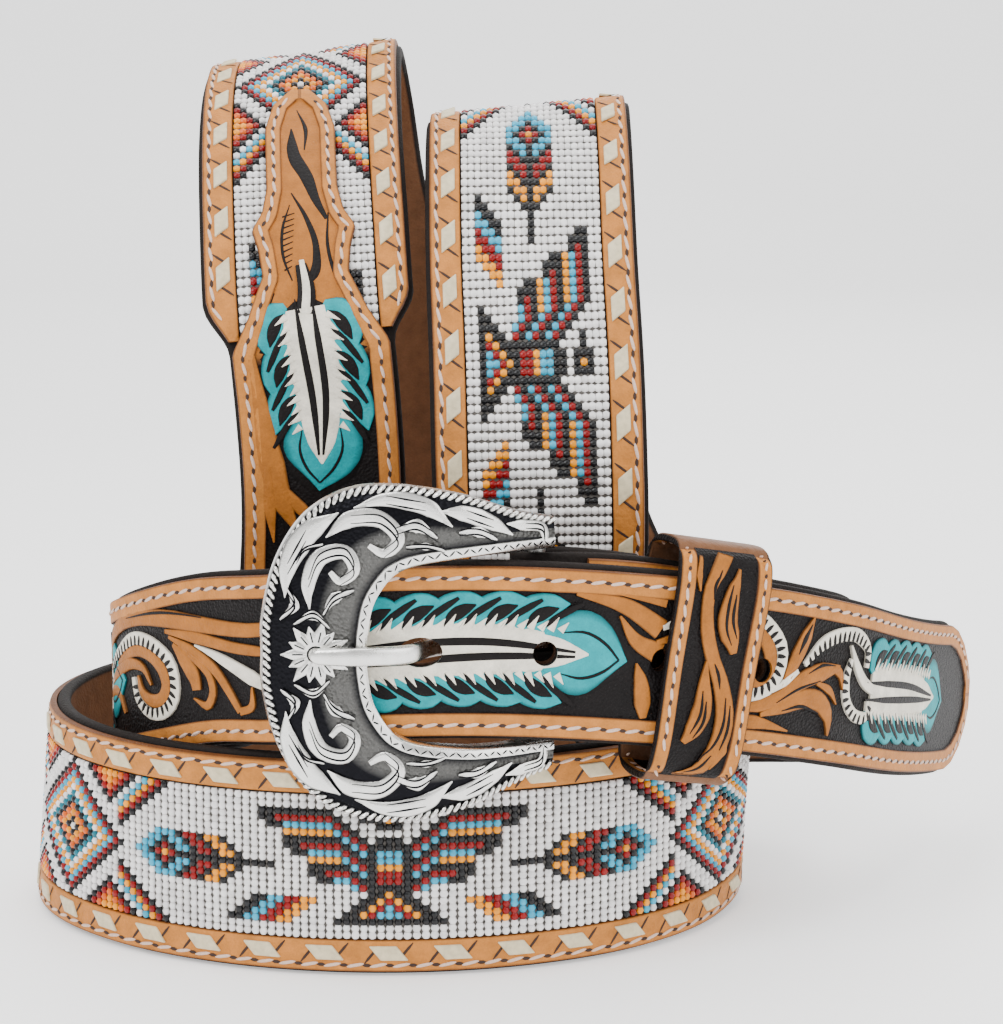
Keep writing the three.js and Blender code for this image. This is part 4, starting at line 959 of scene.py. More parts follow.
def shoulder_leaves(surface, colours):
    """A leaf down the left of the shoulder's feather, parting in three, and the feather's bare quill."""
    tan, black, white = colours.carved_tan[:3], colours.dye_black[:3], colours.paint_white[:3]
    parts = []
    stroke = carver(surface, 0.0, 0.0, parts)
    for spine, widths in (
        ([(453, -13.8), (440, -12.9), (428, -11.8), (418, -9.6), (409, -5.4)],
            [1.4, 3.0, 5.0, 6.6, 5.0, 0.4]),
        ([(426, -12.4), (416, -12.2), (407, -11.2)], [1.6, 3.4, 0.4]),
            ([(420, -8.6), (415, -4.4), (411.5, -0.6)], [2.0, 3.2, 0.4]),
    ):
        stroke(spine, widths, tan, 0.0)
    stroke([(459, -0.6), (464, 0.0), (470, -1.0)], [4.4, 4.0, 2.6], black, -0.02, 8, 1.0)
    stroke([(459, -0.6), (464, 0.0), (471, -0.8)], [2.2, 2.0, 1.2], white, 0.04, 8, 0.9)
    return parts


def tab_carving(surface, shoulder, direction, colours):
    """Black leaves and cut lines on the tab's sunk tan ground."""
    black = colours.dye_black[:3]
    strokes = [
        ([(57.5, -2.1), (47.7, -1.4), (41.7, 1.1), (34, 3.4), (29.4, 5.4)], [0.3, 2.6, 3.4, 3.0, 2.0, 0.9]),
        ([(37, -2.5), (29.4, 0.9), (22, 2.7), (15.7, 1.9), (12.4, -1.8)], [0.3, 0.9, 1.3, 1.6, 2.4, 0.6]),
        ([(64.4, -0.7), (57, 1.3), (50, 0.9)], [0.2, 1.1, 0.3]),
        ([(33.7, -3), (27, -4.9), (19.6, -4.8), (14.5, -3.1)], [0.2, 0.7, 0.7, 0.3]),
        ([(31, 5.8), (22, 5.4), (14, 7.2), (7.5, 10.6)], [0.3, 0.8, 0.9, 0.3]),
        ([(12, -7.4), (9, -9.2), (7, -11.4)], [0.3, 0.8, 0.3]),
    ]
    parts = []
    base, top = -GROUND_DEPTH - 0.2, -GROUND_DEPTH + 0.09
    for spine, widths in strokes:
        path = [(shoulder + direction * past, across) for past, across in spine]
        parts.append(blade(surface, path, widths, base, top, black, steps=24))
    for i in range(10):
        past = 17 + 1.5 * i
        path = [(shoulder + direction * past, -4.8), (shoulder + direction * (past + 0.9), -3.0 + 0.12 * i)]
        parts.append(blade(surface, path, [0.45, 0.2], base, top, black, steps=3))
    return parts


def buckle_ornaments():
    colours = belt_colours()
    parts = feather(heel_point, BUCKLE_SHOULDER + 8, 50, colours)
    parts += middle_scroll(heel_point, BUCKLE_SHOULDER + 92, colours)
    parts += tab_carving(heel_point, BUCKLE_SHOULDER, -1, colours)
    return ornament("buckle_billet_carving", parts)


def border_strip(side):
    """A tan border along the beads, with rounded edges."""
    colours = belt_colours()
    at = np.concatenate([[PANEL_START], LINE_AT[(LINE_AT > PANEL_START) & (LINE_AT < PANEL_END)],
        [PANEL_END]])
    edge = belt_half(at) - EDGE_REVEAL
    inner = np.full_like(at, BORDER_INNER)
    tan, dark = colours.tan[:3], colours.tan_burnt[:3]
    steps = [
        (inner, FACE_BASE, dark), (inner, FACE_TOP - 0.5, dark), (inner + 0.3, FACE_TOP - 0.08, tan),
        (inner + 0.9, FACE_TOP, tan), (edge - 0.7, FACE_TOP, tan), (edge - 0.16, FACE_TOP - 0.16, dark),
        (edge, FACE_TOP - 0.6, dark), (edge, FACE_BASE, dark),
    ]
    sections = [on_belt(at, side * np.maximum(across, inner), np.full_like(at, out)) for across, out,
        _ in steps]
    points, faces = loft(np.stack(sections, axis=1))
    tints = np.tile(np.array([[*tint[:3], 1.0] for _, _, tint in steps]), (len(at), 1))
    name = "border_upper_leather" if side > 0 else "border_lower_leather"
    return mesh_object(name, points, faces, tints)


# ---- Beads ----

# Chart of the thunderbird from its middle row outwards, lower edge first; each row has 21 beads.
# W white, K black, R red, Y yellow, B light blue, T teal, O orange.
BIRD_ROWS = [
    "WWKBBRYKRRYBBKKWKYKWW", "WWKBRYKKRRYBBKKWKKKWW", "WWKRYKKKKKKKKKWWWWWWW", "WWKYKKWRKBRKBRKWWWWWW",
    "WWKKKWWBRKBRKBRKWWWWW", "WWKKWWWWBRKBRKBRKWWWW", "WWKWWWWWBRKYBRKBRKWWW", "WWWWWWWWKRKYBRKYBRKWW",
    "WWWWWWWWKKKYBRKYBRKWW", "WWWWWYWWWKKYBRKYBRKWW", "WWWWYYWWWWWWKRKYBRKWW", "WWWYYRWWWWWWKKKYBRKWW",
    "WWYYRRWWWWWWWKKYBRKWW", "WWYRRBWWWWWWWWWWKRKWW", "WWRRBBWWWWKWWWWWKKKWW", "WWRBBKWWWWKWWWWWWKKWW",
    "WWBBKKWWWWKWWWWWWWWWW", "WWBKKWWWWWKWWWWWWWWWW", "WWKKWWWWWKKKWWWWWWWWW", "WWKWWWWWKYKYKWWWWWWWW",
    "WWWWWWWKYYKYYKWWWWWWW", "WWWWWWWYYKKKYYWWWWWWW", "WWWWWWWYKRKRKYWWWWWWW", "WWWWWWWKRRKRRKWWWWWWW",
    "WWWWWWWRRKKKRRWWWWWWW", "WWWWWWWRKBKBKRWWWWWWW", "WWWWWWWKBBKBBKWWWWWWW", "WWWWWWWBBKRKBBWWWWWWW",
    "WWWWWWWBKRYRKBWWWWWWW", "WWWWWWWBBKRKBBWWWWWWW", "WWWWWWWWBBKBBWWWWWWWW", "WWWWWWWWWBBBWWWWWWWWW",
    "WWWWWWWWWWBWWWWWWWWWW",
]
DIAMOND = "WKYOKTWYBRK"
TRIANGLE = "KROY"
STRIPES = "WBYRK"
REPEAT = 90
# Where chart rows lie along the belt: diamonds at 45 and 315 and 405, birds at 180 and 360.
CHART_PLACES = [(10, 457.4), (45, 530.0), (180, 803.0), (212, 872.0), (315, 1126.6), (360, 1212.0),
    (405, 1293.0), (502, 1497.0)]


def chart_row(row):
    """The colours of one row of beads."""
    place = row % REPEAT - (REPEAT if row % REPEAT > REPEAT // 2 else 0)
    from_bird, from_diamond = abs(place), REPEAT // 2 - abs(place)
    beads = list(BIRD_ROWS[from_bird]) if from_bird < len(BIRD_ROWS) else ["W"] * 21
    if place in (2, 3):
        beads[17] = "K"
    for column in range(21):
        aside = abs(column - 10)
        triangle = aside - 6 - abs(from_diamond - 8)
        stripe = from_diamond + 10 - aside
        if aside + from_diamond <= 10:
            beads[column] = DIAMOND[aside + from_diamond]
        elif triangle >= 0:
            beads[column] = TRIANGLE[min(triangle, 3)]
        elif from_diamond >= 10 and 13 <= stripe <= 17 and beads[column] == "W":
            beads[column] = STRIPES[stripe - 13]
    return beads


def bead_shape():
    """One seed bead on its side: a short barrel whose hole runs across the belt."""
    rings = []
    for across, radius in ((-0.5, 0.62), (0.0, 1.0), (0.5, 0.62)):
        turns = np.arange(8) * math.pi / 4 + math.pi / 8
        rings.append([(radius * math.cos(t), across * 1.5, 0.93 * radius * math.sin(t)) for t in turns])
    points, faces = loft(np.array(rings))
    shape = mesh_object("bead_shape", points, faces, sharp=80)
    return shape


def bead_rows():
    colours = belt_colours()
    tints = {key: np.array([*getattr(colours, name)[:3], 1.0]) for key, name in BEAD_COLOURS.items()}
    shape = bead_shape()
    rows = np.arange(CHART_PLACES[0][0], CHART_PLACES[-1][0] + 1)
    at = np.interp(rows, [place[0] for place in CHART_PLACES], [place[1] for place in CHART_PLACES])
    pitch = np.gradient(at)
    chance = np.random.default_rng(7)
    material = glass_beads()
    pieces = []
    for part, chosen in enumerate(np.array_split(np.arange(len(rows)), 4)):
        spots, outs, alongs, sizes, paints = [], [], [], [], []
        for i in chosen:
            across = (np.arange(21) - 10) * belt_sizes().bead_pitch / MM
            shift = chance.uniform(-0.07, 0.07, 21)
            where = on_belt(at[i] + shift, across + chance.uniform(-0.03, 0.03, 21),
                FACE_BASE + 0.98 + chance.uniform(-0.05, 0.04, 21))
            _, along, _, out = frames(at[i] + shift)
            spots.append(where)
            outs.append(out)
            alongs.append(along + 0.05 * chance.standard_normal((21, 3)))
            width = np.full(21, pitch[i] * 0.535) * chance.uniform(0.95, 1.03, 21)
            sizes.append(np.stack([width, chance.uniform(0.93, 1.02, 21), chance.uniform(0.97, 1.03, 21)],
                axis=1))
            paints.append(np.stack([tints[bead] * np.array([*[chance.uniform(0.86, 1.08)] * 3,
                1]) for bead in chart_row(int(rows[i]))]))
        piece = scattered(f"beads_{part + 1}", shape, np.concatenate(spots), np.concatenate(outs),
            np.concatenate(alongs),
                          material, np.concatenate(sizes), np.concatenate(paints), 1.0)
        pieces.append(piece)
    bpy.data.objects.remove(shape)
    return pieces, material


BEAD_COLOURS = {"W": "bead_white", "K": "bead_black", "R": "bead_red", "Y": "bead_yellow", "B": "bead_blue",
    "T": "bead_teal", "O": "bead_orange"}


def bead_backing():
    at = np.concatenate([[PANEL_START], LINE_AT[(LINE_AT > PANEL_START) & (LINE_AT < PANEL_END)],
        [PANEL_END]])
    half, ends = BORDER_INNER - 0.3, ((-1, FACE_BASE), (-1, FACE_BASE + 0.9), (0, FACE_BASE + 1.0),
        (1, FACE_BASE + 0.9), (1, FACE_BASE))
    sections = [on_belt(at, np.full_like(at, side * half), np.full_like(at, out)) for side, out in ends]
    points, faces = loft(np.stack(sections, axis=1))
    return mesh_object("bead_backing", points, faces, tinted((0.10, 0.092, 0.085), len(points), 0.3))


# ---- Stitching and lacing ----

def capsule(name, length, width, height, rings=6, sides=6):
    """A rounded bar along X, flat enough to lie on leather."""
    sections = []
    for share in np.linspace(-1, 1, rings):
        reach = share * length / 2
        girth = max(math.sqrt(max(1 - abs(share) ** 4, 0)), 0.35)
        turns = np.arange(sides) * 2 * math.pi / sides
        sections.append([(reach, width / 2 * girth * math.cos(t),
            height / 2 * girth * math.sin(t)) for t in turns])
    points, faces = loft(np.array(sections))
    return mesh_object(name, points, faces, sharp=80)


def seam(path, outs, pitch, lean, first=0.5):
    """Places a pitch apart along a path, with the way they run and the way they face."""
    length = running_length(path)
    spots = np.arange(first * pitch, length[-1] - 0.4 * pitch, pitch)
    pick = lambda table, where: np.stack([np.interp(where, length, table[:, k]) for k in range(3)], axis=1)
    along = unit(pick(path, spots + 0.8) - pick(path, spots - 0.8))
    out = unit(pick(outs, spots))
    return pick(path, spots), out, along + lean * np.cross(out, along)


def billet_seams(start, end, shoulder, direction, surface):
    """Stitch lines that follow both edges of a billet's face and turn round its ends."""
    at = np.arange(start, end, 0.5)
    inner = face_inset(at, face_half(at, shoulder, direction), shoulder, direction, 2.4, 1.9)
    keep = inner > 0.6
    at, inner = at[keep], inner[keep]
    return [(surface(at, side * inner, np.full_like(at, 0.05)), frames(at)[3]) for side in (1, -1)]


def border_seams():
    at = np.arange(PANEL_START + 4, PANEL_END - 4, 2.0)
    aside = belt_half(at) - 2.6
    return [(on_belt(at, side * aside, np.full_like(at, FACE_TOP + 0.05)), frames(at)[3]) for side in (1,
        -1)]


def stitch_rows(name, seams, pitch, thread, dark):
    """Thread and needle holes along several seams, as two pieces."""
    size = belt_sizes()
    made = []
    rows = [seam(path, outs, pitch, 0.2) for path, outs in seams]
    holes = [seam(path, outs, pitch, 0.0, 1.0) for path, outs in seams]
    stitch = capsule("stitch_shape", 0.74 * pitch, size.thread_width / MM, 0.55)
    hole = capsule("needle_hole_shape", 0.36 * pitch, 0.8, 0.2, rings=4)
    for label, shape, sets, material in (("thread", stitch, rows, thread),
        ("needle_holes", hole, holes, dark)):
        spots, outs, alongs = (np.concatenate([row[k] for row in sets]) for k in range(3))
        made.append(scattered(f"{name}_{label}", shape, spots, outs, alongs, material))
    for shape in (stitch, hole):
        bpy.data.objects.remove(shape)
    return made


LACE_OUTLINE = [(-4.3, 1.6), (1.7, 1.6), (4.3, -1.6), (-1.7, -1.6)]


def lace_shape():
    """One visible stretch of thong: a slanted four-sided strap with softened edges."""
    outline = np.array(LACE_OUTLINE, float)
    rings = []
    for inset, height in ((0.0, -0.1), (0.0, 0.22), (0.1, 0.4), (0.32, 0.48)):
        ring = []
        for i, corner in enumerate(outline):
            before, after = outline[i - 1], outline[(i + 1) % 4]
            for share in (0.16, 0.04):
                spot = corner + (before - corner) * share
                ring.append(spot)
            for share in (0.04, 0.16):
                ring.append(corner + (after - corner) * share)
        ring = np.array(ring) * np.array([1 - inset / 3.2, 1 - inset / 1.6])
        rings.append(np.column_stack([ring, np.full(len(ring), height)]))
    points, faces = loft(np.array(rings))
    return mesh_object("lace_shape", points, faces, sharp=50)


def lacing(lace, dark):
    pitch = belt_sizes().lace_pitch / MM
    at = np.arange(PANEL_START + 10, PANEL_END - 8, pitch)
    shape, slit = lace_shape(), capsule("slit_shape", 5.0, 0.62, 0.2, rings=5)
    spots, outs, alongs, slits, slit_outs, slit_alongs = [], [], [], [], [], []
    for side in (1, -1):
        along_at = at + (0 if side > 0 else pitch * 0.35)
        across = side * (WIDE_WIDTH / 2 - 5.3)
        spots.append(on_belt(along_at, across, FACE_TOP))
        _, along, edge, out = frames(along_at)
        outs.append(out)
        alongs.append(along)
        for end in (1, -1):
            slits.append(on_belt(along_at + end * 3.55, across - end * 0.35, FACE_TOP + 0.02))
            slit_outs.append(out)
            slit_alongs.append(along * 0.63 - edge * 0.78)
    made = [scattered("lacing_thong", shape, np.concatenate(spots), np.concatenate(outs),
        np.concatenate(alongs), lace)]
    made.append(scattered("lacing_slits", slit, np.concatenate(slits), np.concatenate(slit_outs),
        np.concatenate(slit_alongs), dark))
    for spare in (shape, slit):
        bpy.data.objects.remove(spare)
    return made


# ---- Keeper ----

KEEPER_WIDTH = 22.0
KEEPER_THICKNESS = 1.8
KEEPER_HEIGHT = 51.0
KEEPER_CLEARANCE = 0.7
KEEPER_LOOP = [
    (-0.5, -0.76), (-0.5, 0.0), (-0.5, 0.76), (-0.38, 0.96), (0.0, 1.0), (0.4, 0.95),
    (0.5, 0.8), (0.5, 0.0), (0.5, -0.8), (0.4, -0.95), (0.0, -1.0), (-0.38, -0.96),
]


def keeper_depths():
    """Depth and middle of the keeper's loop at its two edges and its middle."""
    billet = LINE_AT > BELT_LENGTH - BUCKLE_BILLET_LENGTH / 2
    in_front = FACE_TOP + KEEPER_CLEARANCE
    stops = []
    for share in (-0.5, 0.0, 0.5):
        point, along, _, out = (value[0] for value in frames(KEEPER_AT + share * KEEPER_WIDTH))
        nearest = LINE_POINT[billet][np.argmin(np.abs((LINE_POINT[billet] - point) @ along))]
        behind = (point - nearest) @ out + BASE_THICKNESS / 2 + KEEPER_CLEARANCE
        stops.append((in_front + behind + KEEPER_THICKNESS, (in_front - behind) / 2))
    return stops


KEEPER_DEPTHS = keeper_depths()


def keeper_surface(width, turn, height):
    """Keeper points: mm along from its middle, share round its loop, mm out from its wall's middle."""
    width, turn, height = np.broadcast_arrays(np.asarray(width, float), turn, height)
    share = width / KEEPER_WIDTH
    depth = np.interp(share, [-0.5, 0, 0.5], [stop[0] for stop in KEEPER_DEPTHS])
    centre = np.interp(share, [-0.5, 0, 0.5], [stop[1] for stop in KEEPER_DEPTHS])
    spots = np.empty((len(width), 2))
    tangents = np.empty((len(width), 2))
    for i in range(len(width)):
        rows = np.array([(d * depth[i], h * KEEPER_HEIGHT / 2) for d,
            h in KEEPER_LOOP * 3])[len(KEEPER_LOOP) - 3:2 * len(KEEPER_LOOP) + 3]
        knots = np.concatenate([[0], np.cumsum(np.linalg.norm(np.diff(rows, axis=0), axis=1) ** 0.5)])
        place = (turn[i] % 1.0) * len(KEEPER_LOOP) + 3
        first = int(place)
        at = knots[first] + (place - first) * (knots[first + 1] - knots[first])
        near = cubic_through(rows, knots, np.array([at - 0.02, at, at + 0.02]))
        spots[i], tangents[i] = near[1], near[2] - near[0]
    tangents /= np.linalg.norm(tangents, axis=1, keepdims=True)
    rise = spots[:, 1] + height * tangents[:, 0] * -1
    out = centre - spots[:, 0] + height * tangents[:, 1]
    return on_belt(KEEPER_AT + width, rise, out)


KEEPER_TURNS = 96


def keeper_body():
    colours = belt_colours()
    tan, dark, black, lining = (
        np.array([*colour[:3], flat]) for colour, flat in
        ((colours.tan, 1.0), (colours.tan_burnt, 1.0), (colours.dye_black, 0.0),
            (colours.lining_brown, 1.0))
    )
    half, wall = KEEPER_WIDTH / 2, KEEPER_THICKNESS / 2
    section = [
        (-half + 0.5, -wall, lining), (half - 0.5, -wall, lining), (half, -wall + 0.4, black),
            (half, wall - 0.4, black),
        (half - 0.25, wall - 0.1, black), (half - 0.7, wall, tan), (half - 3.3, wall, tan),
            (half - 3.6, wall - 0.12, dark),
        (half - 3.8, wall - 0.55, black), (-half + 3.8, wall - 0.55, black),
            (-half + 3.6, wall - 0.12, dark),
        (-half + 3.3, wall, tan), (-half + 0.7, wall, tan), (-half + 0.25, wall - 0.1, black),
            (-half, wall - 0.4, black),
        (-half, -wall + 0.4, black),
    ]
    turns = np.arange(KEEPER_TURNS) / KEEPER_TURNS
    rows = np.stack([keeper_surface(np.full(KEEPER_TURNS, w), turns, h) for w, h, _ in section], axis=1)
    points, faces = loft(rows, ring=True)
    tints = np.tile(np.array([tint for _, _, tint in section]), (KEEPER_TURNS, 1))
    return mesh_object("keeper_leather", points, faces, tints, sharp=40)


def keeper_front(width, rise, height):
    """A point on the keeper's front by its height on the belt."""
    width, rise, height = np.broadcast_arrays(np.asarray(width, float), rise, height)
    turns = np.interp(rise, [-0.96 * KEEPER_HEIGHT / 2, -0.76 * KEEPER_HEIGHT / 2, 0,
        0.76 * KEEPER_HEIGHT / 2, 0.96 * KEEPER_HEIGHT / 2], [-1 / 12, 0, 1 / 12, 2 / 12, 3 / 12])
    return keeper_surface(width, turns, KEEPER_THICKNESS / 2 + height)


def keeper_carving():
    """Tan leaves that curl down the keeper's front, with cut lines."""
    colours = belt_colours()
    tan, black = colours.carved_tan[:3], colours.dye_black[:3]
    low, high = -0.56, 0.02
    parts = []
    leaves = [
        ([(0.4, 24.4), (3.9, 15.9), (3.2, 7.7), (0.7, 1.9), (-2.4, -3.4), (-4.6, -9.7), (-4.1, -16.4),
            (-1.6, -21.7), (4.6, -24.6)], [3.6, 3.0, 2.6, 3.0, 3.2, 3.8, 4.6, 4.6, 3.6, 1.0]),
        ([(-2.6, 21.0), (-1.4, 14.5), (-1.5, 8.7), (-3.6, 4.6), (-4.2, 3.0)],
            [0.4, 2.4, 3.6, 4.6, 4.4, 1.6]),
        ([(1.9, 1.0), (1.6, -3.4), (1.2, -8.6), (3.0, -13.6), (4.6, -16.0)],
            [0.4, 2.2, 3.8, 4.8, 4.0, 1.4]),
        ([(-5.2, -13.0), (-5.6, -18.0), (-3.6, -22.0)], [0.4, 2.2, 0.4]),
        ([(6.4, 23.0), (6.7, 19.0), (6.2, 15.0)], [0.6, 1.4, 0.3]),
    ]
    cuts = [
        [(1.7, 20.5), (2.9, 16.8), (2.9, 13.4)], [(-1.2, 17.4), (-0.8, 12.0), (-1.4, 7.4), (-3.2, 4.6)],
            [(-2.2, 15.0), (-2.6, 9.0), (-4.2, 6.0)],
        [(0.0, 0.6), (-1.4, -1.8), (-2.2, -4.4)],
            [(-4.0, -6.0), (-4.4, -11.0), (-3.0, -16.0), (0.0, -20.6)],
                [(-5.4, -7.4), (-5.7, -12.0), (-4.6, -17.4)],
        [(1.8, -5.0), (1.6, -9.6), (3.4, -13.8)], [(0.6, -7.0), (0.6, -11.0), (2.6, -14.8)],
            [(-3.0, -19.2), (-0.4, -22.2), (2.6, -23.8)],
    ]
    for spine, widths in leaves:
        parts.append(blade(keeper_front, spine, widths, low, high, tan, steps=26))
    for spine in cuts:
        parts.append(blade(keeper_front, spine, [0.2, 0.75, 0.7, 0.15], high - 0.1, high + 0.06, black,
            shade=1.0, steps=12))
    return ornament("keeper_carving", parts)


def keeper_seams():
    turns = np.arange(KEEPER_TURNS + 1) / KEEPER_TURNS
    seams = []
    for side in (1, -1):
        path = keeper_surface(np.full(len(turns), side * (KEEPER_WIDTH / 2 - 2.0)), turns,
            KEEPER_THICKNESS / 2 + 0.05)
        above = keeper_surface(np.full(len(turns), side * (KEEPER_WIDTH / 2 - 2.0)), turns,
            KEEPER_THICKNESS / 2 + 1.05)
        seams.append((path, unit(above - path)))
    return seams


# ---- Buckle ----

BUCKLE_LENGTH = 62.0
BUCKLE_HEIGHT = 71.0
BUCKLE_THICKNESS = 4.2
BUCKLE_BOW = 11.5
WINDOW_HALF = NARROW_WIDTH / 2 + 1.4
LUG_HEIGHT = 3.0
LUG_LENGTH = 5.0
# along, rise, inner along and inner rise from the end of an arm to the middle of the side.
BUCKLE_OUTLINE = np.array([
    (1, 0.76, 1, 1), (0.86, 0.82, 0.86, 1), (0.655, 0.94, 0.69, 0.985), (0.45, 1, 0.53, 0.93),
        (0.284, 0.97, 0.455, 0.86),
    (0.145, 0.82, 0.41, 0.74), (0.05, 0.554, 0.366, 0.5), (0.003, 0.226, 0.348, 0.2), (0, 0, 0.345, 0),
])
BUCKLE_CURVE = [(0, 0.32), (0.15, 0.46), (0.345, 0.7), (0.455, 0.92), (0.56, 1), (0.7, 0.95), (0.86, 0.66),
    (1, 0.32)]
CURVE_AT = np.linspace(0, 1, 41)
CURVE_BOW = np.convolve(np.pad(through(BUCKLE_CURVE, CURVE_AT), 2, mode="edge"), [0.1, 0.2, 0.4, 0.2, 0.1],
    mode="valid")


def buckle_point(along, rise, height):
    """Buckle point: share along from the outer side, mm above its middle, mm out from its back."""
    along, rise, height = np.broadcast_arrays(np.asarray(along, float), rise, height)
    forward = BUCKLE_BOW * np.interp(along, CURVE_AT, CURVE_BOW) + height
    from_bar = (1 - along) * BUCKLE_LENGTH - LUG_LENGTH / 2
    return BAR_CENTRE + from_bar[..., None] * HEEL_ALONG + rise[..., None] * HEEL_EDGE + forward[...,
        None] * HEEL_OUT


def buckle_rails(steps=12):
    """Outer and inner edges of the frame from one arm's end to the other's, as (along, rise)."""
    knots = np.arange(len(BUCKLE_OUTLINE), dtype=float)
    at = np.linspace(0, knots[-1], 8 * steps + 1)
    rows = cubic_through(BUCKLE_OUTLINE, knots, at)
    outer = np.stack([rows[:, 0], rows[:, 1] * BUCKLE_HEIGHT / 2], axis=1)
    inner = np.stack([rows[:, 2], rows[:, 3] * WINDOW_HALF], axis=1)
    mirror = np.array([1, -1])
    return np.concatenate([outer, (outer * mirror)[-2::-1]]), np.concatenate([inner,
        (inner * mirror)[-2::-1]])


def frame_silver():
    colours = belt_colours()
    bright = np.array([*colours.silver[:3], 1.0])
    dark = np.array([*colours.silver_black[:3], 0.8])
    stippled = np.array([*(0.16 * np.array(colours.silver[:3])), 0.0])
    outer, inner = buckle_rails()
    gap = (inner - outer) * np.array([BUCKLE_LENGTH, 1])
    length = np.linalg.norm(gap, axis=1)
    top = BUCKLE_THICKNESS
    steps = [
        (0.0, 0.0, 0, bright), (0.0, 0.0, 0.35 * top, bright), (0.3, 0.0, 0.6 * top, dark),
            (1.7, 0.0, 0.74 * top, dark),
        (2.0, 0.0, 0.76 * top, dark), (2.5, 0.0, 0.84 * top, dark), (0.0, 0.5, 0.86 * top, dark),
            (0.0, 0.62, 0.87 * top, stippled), (-4.4, 1.0, 0.87 * top, stippled),
        (-2.6, 1.0, 0.86 * top, dark), (-2.35, 1.0, 0.99 * top, bright), (-0.7, 1.0, 0.99 * top, bright),
        (-0.2, 1.0, 0.88 * top, bright), (0.0, 1.0, 0.5 * top, bright), (0.0, 1.0, 0, bright),
    ]
    sections, tints = [], []
    for distance, share, height, tint in steps:
        part = np.clip(share + distance / length, 0, 1)[:, None]
        spot = outer + (inner - outer) * part
        sections.append(buckle_point(spot[:, 0], spot[:, 1], np.full(len(spot), height)))
        tints.append(np.tile(tint, (len(spot), 1)))
    parts = [(*loft(np.stack(sections, axis=1)), np.stack(tints, axis=1).reshape(-1, 4))]
    turns = np.arange(24) * math.pi / 12
    bar_half = WINDOW_HALF + LUG_HEIGHT / 2
    ring = BAR_CENTRE + BAR_RADIUS * (np.cos(turns)[:, None] * HEEL_ALONG + np.sin(turns)[:,
        None] * HEEL_OUT)
    bar = np.stack([ring + HEEL_EDGE * reach for reach in (-bar_half, bar_half)])
    parts.append((*loft(bar), np.tile(bright, (48, 1))))
    reach = BAR_RADIUS + BUCKLE_BOW * 0.32 + BUCKLE_THICKNESS / 2
    for side in (1, -1):
        rings = []
        for level, grow in ((-BAR_RADIUS, 0.75), (-BAR_RADIUS + 0.6, 1.0), (reach - BAR_RADIUS, 1.0)):
            turns16 = np.arange(16) * math.pi / 8
            squared = lambda v: np.sign(v) * np.abs(v) ** 0.5
            x = squared(np.cos(turns16)) * LUG_LENGTH / 2 * grow
            y = squared(np.sin(turns16)) * LUG_HEIGHT / 2 * grow
            middle = BAR_CENTRE + HEEL_EDGE * side * (WINDOW_HALF + LUG_HEIGHT / 2) + HEEL_OUT * level
            rings.append(middle + x[:, None] * HEEL_ALONG + y[:, None] * HEEL_EDGE)
        parts.append((*loft(np.array(rings)), np.tile(bright, (48, 1))))
    points, faces, tints = joined(parts)
    return mesh_object("buckle_frame_silver", points, faces, tints, sharp=45)


def rope_edge():
    """Slanted strands of the rope that runs round the outer edge."""
    outer, inner = buckle_rails(24)
    gap = (inner - outer) * np.array([BUCKLE_LENGTH, 1])
    part = (0.95 / np.linalg.norm(gap, axis=1))[:, None]
    spot = outer + (inner - outer) * part
    path = buckle_point(spot[:, 0], spot[:, 1], np.full(len(spot), 0.76 * BUCKLE_THICKNESS))
    outs = np.tile(HEEL_OUT, (len(path), 1))
    spots, out, along = seam(path, outs, belt_sizes().rope_pitch / MM, 0.95)
    strand = capsule("strand_shape", 2.5, 1.0, 1.4, rings=7, sides=8)
    colours = belt_colours()
    tints = np.tile([*colours.silver[:3], 1.0], (len(spots), 1))
    piece = scattered("buckle_rope_edge", strand, spots, out, along, antiqued_silver(), tints=tints)
    bpy.data.objects.remove(strand)
    return piece


def silver_surface(along, rise, height):
    """Places on the frame's front in mm from the outer side and mm above the middle."""
    return buckle_point(np.asarray(along) / BUCKLE_LENGTH, rise, 0.86 * BUCKLE_THICKNESS + height)


